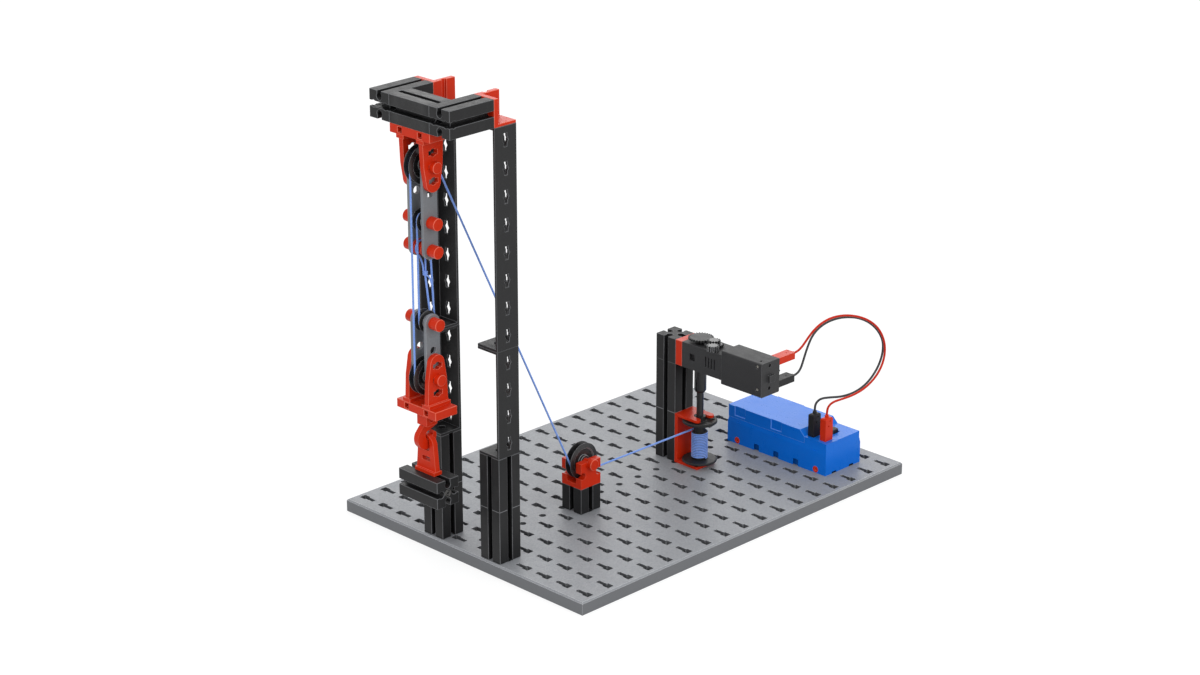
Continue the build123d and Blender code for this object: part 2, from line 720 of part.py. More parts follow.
def output_gear():
    """Gear on the winch shaft, with its hub below; a tooth gap looks toward the idler."""
    shape = Pos(0, 0, output_gear_z) * gear(output_teeth, output_gear_thick, -90 + 180 / output_teeth)
    hub_low = gearbox_top + side_play
    shape += bar((0, 0, hub_low), (0, 0, output_gear_z), pin_radius + 1.2)
    shape -= bar((0, 0, hub_low), (0, 0, output_gear_z + output_gear_thick / 2), pin_radius + pin_play)
    return Pos(winch_x, drum_y, 0) * shape


def idler_gear():
    """Large and small gear in one, on a pin in the gearbox; a small tooth looks toward the output gear."""
    low = gearbox_top + side_play
    large_phase = pinion_bearing
    shape = Pos(0, 0, low) * gear(idler_large_teeth, idler_large_thick, large_phase)
    shape += Pos(0, 0, low + idler_large_thick) * gear(idler_small_teeth, idler_small_thick, 90)
    shape += bar((0, 0, gearbox_top - gear_pin_length), (0, 0, low), gear_pin_radius)
    return Pos(winch_x, idler_y, 0) * shape


def drive_pinion():
    """Pinion on the motor's output, in mesh with the idler's large gear."""
    low = gearbox_top + side_play
    phase = pinion_bearing + 180 + 180 / pinion_teeth
    shape = Pos(0, 0, low) * gear(pinion_teeth, pinion_thick, phase)
    shape += bar((0, 0, gearbox_top - gear_pin_length), (0, 0, low), gear_pin_radius)
    return Pos(pinion_x, pinion_y, 0) * shape


def gearbox_housing():
    """Closed housing with bores for the shaft, the idler and the pinion, and slots in its side."""
    x0, x1 = winch_x - half, winch_x + half
    shape = block((x0, x1), (gearbox_near, -spacer_thick), (gearbox_z, gearbox_top))
    shape -= bar((winch_x, drum_y, gearbox_z), (winch_x, drum_y, gearbox_top), pin_radius + running_play)
    for x, y in ((winch_x, idler_y), (pinion_x, pinion_y)):
        shape -= bar((x, y, gearbox_top - gear_pin_length - 0.3), (x, y, gearbox_top),
                     gear_pin_radius + running_play)
    middle = gearbox_z + half
    shape -= block((x0, x0 + 2.0), (drum_y - 2.3, drum_y + 1.7), (middle - 2.0, middle + 2.0))
    for step in range(4):
        y = gearbox_near + 5.2 + step * 2.2
        shape -= block((x0, x0 + 0.8), (y - 0.5, y + 0.5), (middle - 3.0, middle + 3.2))
    return shape


def motor_case():
    """Motor body with sockets for the plugs, a boss at its near end, a small slot and a catch."""
    x0, x1 = winch_x - half, winch_x + half
    z0, z1 = motor_z - motor_height / 2, motor_z + motor_height / 2
    shape = block((x0, x1), (motor_near, gearbox_near), (z0, z1))
    rim = shape.edges().filter_by(Axis.Y)
    shape = fillet(rim, 0.8)
    shape += block((winch_x - motor_boss / 2, winch_x + motor_boss / 2), (motor_near - 1.5, motor_near),
                   (motor_z - motor_boss / 2, motor_z + motor_boss / 2))
    for rise in (red_socket_rise, black_socket_rise):
        z = motor_z + rise
        shape -= bar((x1, plug_y, z), (x1 - plug_pin_length - 0.3, plug_y, z), plug_pin_radius + pin_play)
        shape -= bar((x0, plug_y, z), (x0 + 3.0, plug_y, z), socket_radius)
        shape -= bar((winch_x - 0.7, motor_near, z), (winch_x - 0.7, motor_near + 1.5, z), socket_radius)
    shape -= block((winch_x - 4.3, winch_x - 2.7), (motor_near + 3.2, motor_near + 4.6), (z1 - 1.0, z1))
    catch = outline([(x1 - 0.2, motor_z + 0.6), (x1 + 1.2, motor_z + 2.2), (x1 - 0.2, motor_z + 3.4)])
    return shape + across(catch, 0, 0, motor_near + 0.4, motor_near + 2.2)


# ---- power ------------------------------------------------------------------------------------
def battery_base():
    """Open tray with the socket deck at its near end, vent slits, and pin seats along its foot."""
    x0, x1 = box_x - box_width / 2, box_x + box_width / 2
    ledge = deck + box_ledge
    shape = block((x0, x1), (-box_length, 0), (deck, ledge - box_slant))
    top_face = Pos(box_x, -box_length / 2, ledge - box_slant) * Rectangle(box_width, box_length)
    shape += extrude(top_face, box_slant, taper=math.degrees(math.atan(cover_inset / box_slant)))
    shape += block((x0 + cover_inset, x1 - cover_inset), (-box_length + cover_inset, deck_end), (ledge, deck_z))
    shape -= block((x0 + box_wall, x1 - box_wall), (deck_end + box_wall, -box_wall), (deck + box_wall, ledge))
    length, height, depth = box_vent
    for y, slits in box_vents.items():
        for step in range(slits):
            middle = y + (step - (slits - 1) / 2) * 1.8
            for face in (x0, x1):
                shape -= block((face - depth, face + depth), (middle - length / 2, middle + length / 2),
                               (ledge - box_slant + 0.9, ledge - box_slant + 0.9 + height))
    for x in (box_x - half, box_x + half):
        for face in (-box_length, 0):
            shape -= block((x - end_notch[0] / 2, x + end_notch[0] / 2),
                           (face - box_pin_depth, face + box_pin_depth), (deck, deck + end_notch[1]))
    count = int(box_length / module)
    for step in range(count):
        y = -(step + 0.5) * module
        for face, inward in ((x0, 1), (x1, -1)):
            seat = bar((face, y, deck + 2.1), (face + inward * box_pin_depth, y, deck + 2.1), pin_radius)
            if step % 4 != 0:
                low, high = sorted((face, face + inward * box_pin_depth))
                seat += block((low, high), (y - 1.9, y + 1.9), (deck, deck + 3.9))
            shape -= seat
    for y in (red_plug_y, black_plug_y):
        shape -= bar((box_plug_x, y, deck_z - plug_pin_length - 0.3), (box_plug_x, y, deck_z),
                     plug_pin_radius + pin_play)
    well = switch_width + switch_travel + 2.4
    return shape - block((switch_x - well / 2 - switch_travel / 2, switch_x + well / 2 - switch_travel / 2),
                         (switch_y - switch_length / 2 - 0.7, switch_y + switch_length / 2 + 0.7),
                         (deck_z - switch_well, deck_z))


def battery_cover():
    """Cover over the battery, with a slope down to the deck and finger recesses in its sides."""
    x0, x1 = box_x - box_width / 2 + cover_inset, box_x + box_width / 2 - cover_inset
    ledge, top = deck + box_ledge, deck + box_height
    slope = deck_end + cover_slope
    side_wall = box_wall - cover_inset
    shell = along(outline([(0, ledge), (0, top), (slope, top), (deck_end, deck_z), (deck_end, ledge)]),
                  0, 0, x0, x1)
    roof = top - box_wall
    shell -= along(outline([(-box_wall, ledge), (-box_wall, roof), (slope + box_wall, roof),
                            (slope + box_wall, ledge)]), 0, 0, x0 + side_wall, x1 - side_wall)
    for y in (-8.8, -36.8):
        for low, high in ((x0, x0 + side_wall / 2), (x1 - side_wall / 2, x1)):
            shell -= block((low, high), (y - 4.0, y + 4.0), (ledge + 1.6, top))
    return shell


def battery():
    """Nine-volt block battery in the tray."""
    middle = -(box_wall + 0.3 + battery_length / 2)
    low = deck + box_wall
    shape = block((box_x - battery_width / 2, box_x + battery_width / 2),
                  (middle - battery_length / 2, middle + battery_length / 2), (low, low + battery_height))
    for x in (-6.35, 6.35):
        shape += bar((box_x + x, middle - battery_length / 2, low + battery_height / 2),
                     (box_x + x, middle - battery_length / 2 - 2.5, low + battery_height / 2), 2.8)
    return shape


def battery_pins():
    """Hollow ends of the pins that hold the box on the plate, seen at its foot."""
    x0, x1 = box_x - box_width / 2, box_x + box_width / 2
    count = int(box_length / module)
    pins = []
    for step in range(0, count, 4):
        y = -(step + 0.5) * module
        for face, inward in ((x0, 1), (x1, -1)):
            pin = bar((face, y, deck + 2.1), (face + inward * box_pin_depth, y, deck + 2.1), pin_radius - pin_play)
            pins.append(pin - bar((face, y, deck + 2.1), (face + inward * box_pin_depth * 0.7, y, deck + 2.1),
                                  box_pin_dimple))
    return group(pins)


def power_switch():
    """Sliding knob in the deck's recess."""
    low = deck_z - switch_well + side_play
    knob = block((switch_x - switch_width / 2, switch_x + switch_width / 2),
                 (switch_y - switch_length / 2, switch_y + switch_length / 2), (low, deck_z + switch_rise))
    return chamfer(knob.faces().sort_by(Axis.Z)[-1].edges(), 0.4)


def plug():
    """Plug along Z: pin below Z = 0, body above it with two cross holes, and a neck for the lead."""
    body = block((-plug_width / 2, plug_width / 2), (-plug_thick / 2, plug_thick / 2), (0, plug_length))
    body = chamfer(body.faces().sort_by(Axis.Z)[-1].edges(), 0.6)
    for x, down in plug_holes:
        body -= bar((x, -plug_thick / 2, plug_length - down), (x, plug_thick / 2, plug_length - down),
                    plug_hole_radius)
    body += bar((0, 0, plug_length), (0, 0, plug_length + plug_neck_length), plug_neck_radius)
    return body + bar((0, 0, -plug_pin_length), (0, 0, 0), plug_pin_radius)


def plug_pair(motor_rise, box_plug_y):
    """The plug in the motor and the plug in the battery box of one lead."""
    at_motor = Pos(winch_x + half, plug_y, motor_z + motor_rise) * Rot(0, 90, 0) * Rot(0, 0, 90) * plug()
    at_box = Pos(box_plug_x, box_plug_y, deck_z) * plug()
    return group([at_motor, at_box])


def lead(name, motor_rise, box_plug_y, route):
    """Lead from neck to neck: straight runs joined by arcs as large as the runs allow."""
    start = (winch_x + half + plug_length + plug_neck_length, plug_y, motor_z + motor_rise)
    neck = deck_z + plug_length + plug_neck_length
    starts = [start, (start[0] + lead_exit, start[1], start[2])]
    ends = [(box_plug_x, box_plug_y, neck + lead_exit), (box_plug_x, box_plug_y, neck)]
    points = [Vector(*point) for point in starts + route + ends]
    runs = [(b - a).length for a, b in zip(points, points[1:])]
    radii = []
    for index in range(1, len(points) - 1):
        turn = (points[index] - points[index - 1]).get_angle(points[index + 1] - points[index])
        radii.append(0.45 * min(runs[index - 1:index + 1]) / math.tan(math.radians(turn / 2)))
    path = FilletPolyline(*points, radius=radii)
    tube = sweep(Plane(origin=path @ 0, z_dir=path % 0) * Circle(wire_radius), path=path)
    expected = math.pi * wire_radius ** 2 * path.length
    print(f"{name}: length {path.length:.1f}, runs {[round(run, 1) for run in runs]}")
    print(f"  radii {[round(radius, 1) for radius in radii]}, volume share {tube.volume / expected:.4f}")
    return tube


# ---- rope -------------------------------------------------------------------------------------
def polar(centre, radius, angle):
    """Point at an angle in degrees round a centre in X and Z."""
    return (centre[0] + radius * math.cos(math.radians(angle)),
            centre[1] + radius * math.sin(math.radians(angle)))


def wrap(centre, radius, y, start, size):
    """Rope round a pulley whose axis is along Y, between two angles in degrees."""
    plane = Plane(origin=(0, y, 0), x_dir=(1, 0, 0), z_dir=(0, -1, 0))
    arc = plane * CenterArc(centre, radius, start, size)
    return sweep(Plane(origin=arc @ 0, z_dir=arc % 0) * Circle(rope_radius), path=arc)


def span(start, end):
    """Tight rope between two points, a hair short at each end."""
    start, end = Vector(*start), Vector(*end)
    trim = (end - start).normalized() * 0.03
    return bar(tuple(start + trim), tuple(end - trim), rope_radius)


upper_large = (hang_x, upper_axle_z)
upper_small = (hang_x, upper_pin_z)
lower_large = (hang_x, lower_axle_z)
lower_small = (hang_x, lower_pin_z)
guide_centre = (guide_x, guide_axle_z)
anchor_centre = (hang_x, anchor_z)
knot = (hang_x + 0.9, anchor_z - knot_drop)

# The haul line crosses from the outside of the upper pulley to the underside of the guide.
haul_slant = math.degrees(math.atan2(guide_axle_z - upper_axle_z, guide_x - hang_x))
haul_twist = math.degrees(math.asin(2 * large_wrap / math.dist(upper_large, guide_centre)))
haul_angle = haul_slant + 90 - haul_twist
# The back fall runs from the lower large pulley to the upper small one.
back_angle = math.degrees(math.asin((large_wrap - small_wrap) / (upper_pin_z - lower_axle_z)))
# The standing fall runs from the lower small pulley to the knot.
knot_foot = (knot[0], knot[1] - knot_radius - 0.05)
standing_angle = (math.degrees(math.atan2(knot_foot[1] - lower_small[1], knot_foot[0] - lower_small[0]))
                  - math.degrees(math.acos(small_wrap / math.dist(knot_foot, lower_small))))


def rope_spans():
    """Rope on the fixed side: wraps, haul line, line to the drum, and the loop and knot at the anchor."""
    top = wrap(upper_large, large_wrap, 0, 180, haul_angle - 180)
    small = wrap(upper_small, small_wrap, 0, 180, back_angle - 180)
    start, end = polar(upper_large, large_wrap, haul_angle), polar(guide_centre, large_wrap, haul_angle - 180)
    haul = span((start[0], 0, start[1]), (end[0], guide_y, end[1]))
    under = wrap(guide_centre, large_wrap, guide_y, haul_angle - 180, 90 - haul_angle)
    line = span((guide_x, guide_y, line_z), (winch_x, drum_y + winding_radius, line_z))
    return group([top, small, haul, under, line, anchor_loop()])


def anchor_loop():
    """Loop round the anchor with its knot and tail, one piece."""
    radius = spacer_radius + rope_radius + 0.05
    toward = math.degrees(math.atan2(knot[1] - anchor_z, knot[0] - hang_x))
    spread = math.degrees(math.acos(radius / math.dist(knot, anchor_centre)))
    loop = wrap(anchor_centre, radius, loop_offset, toward + spread, 360 - 2 * spread)
    for angle in (toward + spread, toward - spread):
        edge = polar(anchor_centre, radius, angle)
        loop += bar((edge[0], loop_offset, edge[1]), (knot[0], 0.3, knot[1]), rope_radius)
    loop += Pos(knot[0], 0, knot[1]) * Sphere(knot_radius)
    tail = (knot[0] + tail_reach[0], tail_reach[1], knot[1] + tail_reach[2])
    return loop + bar((knot[0] + 0.8, -0.5, knot[1]), tail, rope_radius)


def rope_falls():
    """The four falls between the blocks, from front to back."""
    back_low, back_high = polar(lower_large, large_wrap, back_angle), polar(upper_small, small_wrap, back_angle)
    stand_low = polar(lower_small, small_wrap, standing_angle)
    return {
        "rope_fall_a": span((hang_x - large_wrap, 0, lower_axle_z), (hang_x - large_wrap, 0, upper_axle_z)),
        "rope_fall_b": span((hang_x - small_wrap, 0, lower_pin_z), (hang_x - small_wrap, 0, upper_pin_z)),
        "rope_fall_c": span((stand_low[0], 0, stand_low[1]), (knot_foot[0], 0, knot_foot[1])),
        "rope_fall_d": span((back_low[0], 0, back_low[1]), (back_high[0], 0, back_high[1])),
    }


def rope_lower_wraps():
    """Rope round the two pulleys of the travelling block."""
    return group([wrap(lower_large, large_wrap, 0, 180, 180 + back_angle),
                  wrap(lower_small, small_wrap, 0, 180, 180 + standing_angle)])


# ---- all sub-parts ----------------------------------------------------------------------------
axle_drop_turn = Pos(0, 0, -axle_drop)
parts = {
    "base_plate": base_plate(),
    "near_tower_bricks": tower_brick_stack(-1),
    "far_tower_bricks": tower_brick_stack(1),
    "near_short_girder": tower_girder(-1, girder_foot, short_girder),
    "far_short_girder": tower_girder(1, girder_foot, short_girder),
    "near_long_girder": tower_girder(-1, girder_seam, long_girder),
    "far_long_girder": tower_girder(1, girder_seam, long_girder),
    "corner_brackets": group(both_sides(corner_bracket())),
    "arm_bricks": group([arm_brick(-1), arm_brick(1)]),
    "cross_bricks": group([cross_brick(-1), cross_brick(1)]),
    "upper_block_plate": hang(block_plate()),
    "upper_block_lugs": hang(block_lugs()),
    "upper_struts": hang(axle_drop_turn * strut_pair(4)),
    "upper_axle": hang(axle_drop_turn * block_axle()),
    "upper_pins": group([Pos(hang_x, 0, upper_pin_z) * strut_pin(), Pos(hang_x, 0, anchor_z) * strut_pin()]),
    "anchor_spacer": Pos(hang_x, 0, anchor_z) * anchor(),
    "upper_large_pulley": Pos(hang_x, 0, upper_axle_z) * pulley(large_rim, large_wrap),
    "upper_small_pulley": Pos(hang_x, 0, upper_pin_z) * pulley(small_rim, small_wrap),
    "lower_block_plate": stand(block_plate()),
    "lower_block_lugs": stand(block_lugs()),
    "lower_struts": stand(axle_drop_turn * strut_pair(3)),
    "lower_axle": stand(axle_drop_turn * block_axle()),
    "lower_pin": Pos(hang_x, 0, lower_pin_z) * strut_pin(),
    "lower_large_pulley": Pos(hang_x, 0, lower_axle_z) * pulley(large_rim, large_wrap),
    "lower_small_pulley": Pos(hang_x, 0, lower_pin_z) * pulley(small_rim, small_wrap),
    "hook_block": hook_block(),
    "load_hook": load_hook(),
    "weight_lug": weight_lug(),
    "weight_brick": weight_brick(),
    "guide_brick": Pos(guide_x, guide_y, deck) * brick(module),
    "guide_bearing": guide_bearing(),
    "guide_axle": guide_axle(),
    "guide_pulley": Pos(guide_x, guide_y, guide_axle_z) * pulley(large_rim, large_wrap),
    "column_bricks": column_bricks(),
    "column_spacer": block((winch_x - half, winch_x + half), (-spacer_thick, 0), (gearbox_z, gearbox_top)),
    "drum_bracket": drum_bracket(),
    "rope_drum": rope_drum(),
    "winch_shaft": winch_shaft(),
    "coupling_sleeve": coupling_sleeve(),
    "output_gear": output_gear(),
    "idler_gear": idler_gear(),
    "drive_pinion": drive_pinion(),
    "gearbox_housing": gearbox_housing(),
    "motor_case": motor_case(),
    "battery_base": battery_base(),
    "battery_cover": battery_cover(),
    "battery": battery(),
    "battery_pins": battery_pins(),
    "power_switch": power_switch(),
    "red_plugs": plug_pair(red_socket_rise, red_plug_y),
    "black_plugs": plug_pair(black_socket_rise, black_plug_y),
    "red_wire": lead("red_wire", red_socket_rise, red_plug_y, red_route),
    "black_wire": lead("black_wire", black_socket_rise, black_plug_y, black_route),
    "rope_spans": rope_spans(),
    "rope_lower_wraps": rope_lower_wraps(),
    "rope_winding": rope_winding(),
}
parts.update(rope_falls())

os.makedirs("parts", exist_ok=True)
for name, shape in parts.items():
    export_step(shape, f"parts/{name}.step")
print(len(parts), "sub-parts")
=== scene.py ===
"""Looks of the pulley demonstrator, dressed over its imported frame.

Lengths are in metres unless a name ends in _mm. X runs along the plate's long side, Y along its
short side and Z up. "Near" is toward -Y, "far" toward +Y.
"""
import bmesh
import bpy
import math
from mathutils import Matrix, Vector


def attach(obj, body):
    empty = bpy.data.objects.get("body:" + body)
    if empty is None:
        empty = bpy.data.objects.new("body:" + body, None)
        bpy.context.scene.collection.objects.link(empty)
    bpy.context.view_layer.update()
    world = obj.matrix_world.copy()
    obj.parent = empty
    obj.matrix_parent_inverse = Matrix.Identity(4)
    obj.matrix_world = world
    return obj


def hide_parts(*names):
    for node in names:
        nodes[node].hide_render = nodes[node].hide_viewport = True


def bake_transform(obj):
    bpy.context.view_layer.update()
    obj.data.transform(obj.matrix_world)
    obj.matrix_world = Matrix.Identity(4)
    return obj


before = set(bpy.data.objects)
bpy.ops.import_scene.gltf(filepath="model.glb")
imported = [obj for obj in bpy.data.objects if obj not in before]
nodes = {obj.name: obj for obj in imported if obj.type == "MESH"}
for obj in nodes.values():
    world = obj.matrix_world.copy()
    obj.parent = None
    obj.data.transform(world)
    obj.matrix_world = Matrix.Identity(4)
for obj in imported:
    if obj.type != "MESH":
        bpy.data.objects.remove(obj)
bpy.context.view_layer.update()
scene = bpy.context.scene
mm = 0.001

# Places and sizes of the object, in millimetres
winch = (45.0, -12.5)            # axis of the drum and the output gear
plate_half = (129.0, 93.0)
plate_top = 7.2
box_middle, box_half = 97.5, 15.0
brick_joints = (37.2, 67.2)      # heights at which stacked bricks meet
seam_half = 0.16
output_root, output_tip = 6.125, 7.25
barrel_wrap = 4.25               # rope centre on the drum


# ---- camera -----------------------------------------------------------------------------------
def photo_camera():
    """Camera at the photograph's place, angle and focal length."""
    azimuth, elevation = math.radians(-45.091), math.radians(20.82)
    back = Vector((math.sin(azimuth) * math.cos(elevation),
                   -math.cos(azimuth) * math.cos(elevation), math.sin(elevation)))
    data = bpy.data.cameras.new("camera")
    data.sensor_width = 36.0
    data.lens = 36.0 * 2881.536 / 1200
    data.clip_start, data.clip_end = 0.05, 20.0
    camera = bpy.data.objects.new("camera", data)
    scene.collection.objects.link(camera)
    camera.rotation_mode = "QUATERNION"
    camera.location = (-1.067215, -1.041056, 0.660266)
    camera.rotation_quaternion = (-back).to_track_quat("-Z", "Y")
    scene.camera = camera


photo_camera()


# ---- materials --------------------------------------------------------------------------------
def linear(*rgb):
    """Linear colour from screen values of 0 to 255."""
    return tuple((c / 255 / 12.92) if c <= 10 else ((c / 255 + 0.055) / 1.055) ** 2.4 for c in rgb)


class Tree:
    """Small helper that adds and joins shader nodes."""

    def __init__(self, name):
        self.material = bpy.data.materials.new(name)
        self.material.use_nodes = True
        self.tree = self.material.node_tree
        self.shader = next(n for n in self.tree.nodes if n.type == "BSDF_PRINCIPLED")
        place = self.add("ShaderNodeTexCoord")
        scale = self.add("ShaderNodeVectorMath", operation="MULTIPLY")
        scale.inputs[1].default_value = (1000, 1000, 1000)
        self.join(place.outputs["Object"], scale.inputs[0])
        self.place_mm = scale.outputs[0]
        self.outward = place.outputs["Normal"]

    def add(self, kind, **settings):
        node = self.tree.nodes.new(kind)
        for key, value in settings.items():
            setattr(node, key, value)
        return node

    def join(self, a, b):
        self.tree.links.new(a, b)

    def noise(self, per_mm, detail=2.0, stretch=(1, 1, 1), rough=0.5):
        """Noise that repeats about so many times in a millimetre."""
        mapping = self.add("ShaderNodeMapping")
        mapping.inputs["Scale"].default_value = stretch
        self.join(self.place_mm, mapping.inputs["Vector"])
        node = self.add("ShaderNodeTexNoise")
        node.inputs["Scale"].default_value = per_mm
        node.inputs["Detail"].default_value = detail
        node.inputs["Roughness"].default_value = rough
        self.join(mapping.outputs[0], node.inputs["Vector"])
        return node.outputs["Fac"]

    def spread(self, value, low, high, from_low=0.3, from_high=0.7):
        """Value brought into the range from low to high."""
        node = self.add("ShaderNodeMapRange")
        node.inputs["From Min"].default_value = from_low
        node.inputs["From Max"].default_value = from_high
        node.inputs["To Min"].default_value = low
        node.inputs["To Max"].default_value = high
        self.join(value, node.inputs["Value"])
        return node.outputs["Result"]

    def mix(self, factor, a, b):
        """Colour between a and b."""
        node = self.add("ShaderNodeMix", data_type="RGBA")
        self.join(factor, node.inputs["Factor"])
        for value, socket in ((a, node.inputs[6]), (b, node.inputs[7])):
            if isinstance(value, tuple):
                socket.default_value = (*value, 1)
            else:
                self.join(value, socket)
        return node.outputs[2]

    def total(self, a, b, share):
        """a plus a share of b."""
        node = self.add("ShaderNodeMath", operation="MULTIPLY_ADD")
        self.join(b, node.inputs[0])
        node.inputs[1].default_value = share
        self.join(a, node.inputs[2])
        return node.outputs[0]

    def figure(self, operation, *values):
        """Result of an operation on numbers and sockets."""
        node = self.add("ShaderNodeMath", operation=operation)
        for socket, value in zip(node.inputs, values):
            if isinstance(value, (int, float)):
                socket.default_value = value
            else:
                self.join(value, socket)
        return node.outputs[0]

    def axes(self, vector):
        """The three numbers of a vector."""
        node = self.add("ShaderNodeSeparateXYZ")
        self.join(vector, node.inputs[0])
        return node.outputs[0], node.outputs[1], node.outputs[2]

    def reach(self, centre, along=(1, 1, 0)):
        """Distance from a point along some of the axes, in millimetres."""
        value = self.place_mm
        for operation, other in (("SUBTRACT", centre), ("MULTIPLY", along)):
            node = self.add("ShaderNodeVectorMath", operation=operation)
            node.inputs[1].default_value = other
            self.join(value, node.inputs[0])
            value = node.outputs[0]
        size = self.add("ShaderNodeVectorMath", operation="LENGTH")
        self.join(value, size.inputs[0])
        return size.outputs["Value"]

    def within(self, value, low, high, soft=0.1):
        """1 between two numbers and 0 outside them."""
        return self.figure("MULTIPLY", self.spread(value, 0, 1, low - soft, low),
                           self.spread(value, 1, 0, high, high + soft))

    def bump(self, height, depth_mm, strength=1.0):
        node = self.add("ShaderNodeBump")
        node.inputs["Strength"].default_value = strength
        node.inputs["Distance"].default_value = depth_mm * mm
        self.join(height, node.inputs["Height"])
        self.join(node.outputs[0], self.shader.inputs["Normal"])


def shade(colour, share):
    """Colour made lighter or darker."""
    return tuple(min(1.0, c * share) for c in colour)


def moulded(name, colour, rough, specular=0.5, cloud=0.05, grain=2.2, grain_depth=0.006, speckle=0.03,
            scuffs=0.06, tint=(1, 1, 1), places=(), rings=()):
    """Injection-moulded plastic: cloudy colour, fine grain, faint scuffs and uneven gloss.

    places are pairs of a mask and its colour, used for painted shade and painted highlights, and rings the
    centres of round mould marks.
    """
    t = Tree(name)
    clouds = t.noise(0.055, 4.0)
    fine = t.noise(grain, 3.0)
    rubbed = t.noise(0.35, 5.0, stretch=(1.0, 0.35, 0.22), rough=0.68)
    tone = t.mix(t.spread(clouds, 0, 1), shade(colour, 1 - cloud), shade(colour, 1 + cloud))
    pale = tuple(c + (0.5 - c) * scuffs for c in colour)
    tone = t.mix(t.spread(rubbed, 0, 0.55, 0.52, 0.74), tone, pale)
    tone = t.mix(t.spread(fine, 0, speckle * 8), tone, shade(colour, 0.8))
    height = t.total(fine, rubbed, 0.4)
    for x, y in rings:
        mark = t.within(t.reach((x, y, 0)), 3.0, 3.25, 0.15)
        tone = t.mix(t.figure("MULTIPLY", mark, 0.35), tone, shade(colour, 1.2))
        height = t.total(height, mark, -2.5)
    # Painted shade and painted highlights from the masks in places.
    for mask, other in places:
        tone = t.mix(mask(t), tone, other)
    t.join(tone, t.shader.inputs["Base Color"])
    gloss = t.total(t.spread(fine, rough - 0.05, rough + 0.06), t.spread(rubbed, -0.04, 0.09), 1.0)
    t.join(gloss, t.shader.inputs["Roughness"])
    t.bump(height, grain_depth, 0.55)
    t.shader.inputs["Specular IOR Level"].default_value = specular
    t.shader.inputs["Specular Tint"].default_value = (*tint, 1)
    return t.material


def highlit_worn_edge(name, colour, rough, specular=0.5, lift=0.08, tint=(1, 1, 1)):
    """Rounded edge of a moulding: its colour, far lighter than the face, is a painted highlight, made a
    little paler and smoother still, with small nicks of wear.
    """
    t = Tree(name)
    nicks = t.noise(0.9, 5.0, rough=0.7)
    pale = tuple(c + (0.62 - c) * lift for c in colour)
    tone = t.mix(t.spread(nicks, 0, 1, 0.35, 0.65), shade(colour, 0.9), pale)
    t.join(tone, t.shader.inputs["Base Color"])
    t.join(t.spread(nicks, rough - 0.07, rough + 0.1), t.shader.inputs["Roughness"])
    t.bump(nicks, 0.008, 0.5)
    t.shader.inputs["Specular IOR Level"].default_value = specular
    t.shader.inputs["Specular Tint"].default_value = (*tint, 1)
    return t.material


def rope_material(name, colour, places=()):
    """Twisted polyester cord: fine fibres along the strands; places paint shade, such as the dark valleys
    between wound turns.
    """
    t = Tree(name)
    fibres = t.noise(5.5, 3.0, stretch=(1.0, 1.0, 0.4), rough=0.7)
    patches = t.noise(0.5, 3.0)
    tone = t.mix(t.spread(fibres, 0, 1), shade(colour, 0.8), shade(colour, 1.22))
    pale = tuple(c + (0.8 - c) * 0.22 for c in colour)
    tone = t.mix(t.spread(patches, 0, 0.6, 0.45, 0.75), tone, pale)
    for mask, other in places:
        tone = t.mix(mask(t), tone, other)
    t.join(tone, t.shader.inputs["Base Color"])
    t.join(t.spread(fibres, 0.5, 0.72), t.shader.inputs["Roughness"])
    t.bump(fibres, 0.03, 0.7)
    t.shader.inputs["Sheen Weight"].default_value = 0.35
    t.shader.inputs["Sheen Roughness"].default_value = 0.4
    t.shader.inputs["Specular IOR Level"].default_value = 0.35
    return t.material


def metal(name, colour, rough):
    """Turned or pressed metal with fine marks."""
    t = Tree(name)
    marks = t.noise(3.0, 4.0, stretch=(1.0, 1.0, 0.2))
    tone = t.mix(t.spread(marks, 0, 1), shade(colour, 0.86), shade(colour, 1.08))
    t.join(tone, t.shader.inputs["Base Color"])
    t.join(t.spread(marks, rough - 0.06, rough + 0.1), t.shader.inputs["Roughness"])
    t.bump(marks, 0.004, 0.4)
    t.shader.inputs["Metallic"].default_value = 1.0
    return t.material


def upright(t):
    """Faces that stand up, such as the plate's sides and the walls of its slots."""
    return t.spread(t.axes(t.outward)[2], 1, 0, 0.3, 0.6)


def in_the_slots(t):
    """Inside the plate's slots and holes, where the plastic is painted darker as shade."""
    x, y, z = t.axes(t.place_mm)
    inside = [t.spread(t.figure("ABSOLUTE", place), 1, 0, half - 1.0, half - 0.8)
              for place, half in zip((x, y), plate_half)]
    below = t.spread(z, 1, 0, plate_top - 0.6, plate_top - 0.2)
    return t.figure("MULTIPLY", t.figure("MULTIPLY", *inside), below)


def in_the_seats(t):
    """Inside the pin seats along the foot of the battery box, painted darker as the shade in these recesses.
    """
    x, y, z = t.axes(t.place_mm)
    across = t.figure("ABSOLUTE", t.figure("SUBTRACT", x, box_middle))
    side = t.spread(across, 1, 0, box_half - 0.2, box_half - 0.1)
    low = t.figure("MULTIPLY", t.spread(z, 1, 0, 11.35, 11.45), t.within(y, -74.6, -0.4))
    return t.figure("MULTIPLY", side, low)


def between_turns(t):
    """Valleys between the turns wound on the drum, painted nearly black as the shade between turns."""
    return t.spread(t.reach((*winch, 0)), 1, 0, barrel_wrap + 0.17, barrel_wrap + 0.41)


def seam_highlights(*heights):
    """Mask of the thin lines where stacked bricks meet, painted lighter as highlights on the meeting edges.
    """
    def mask(t):
        z = t.axes(t.place_mm)[2]
        lines = [t.within(z, height - seam_half, height + seam_half) for height in heights]
        found = lines[0]
        for line in lines[1:]:
            found = t.figure("MAXIMUM", found, line)
        return t.figure("MULTIPLY", found, upright(t))
    return mask


def tooth_gaps(x, y, root, tip):
    """Mask of the gaps between the teeth of a gear at a place, painted near black as the shade between
    teeth.
    """
    def mask(t):
        deep = t.spread(t.reach((x, y, 0)), 1, 0, root + 0.1, tip - 0.3)
        return t.figure("MULTIPLY", upright(t), deep)
    return mask


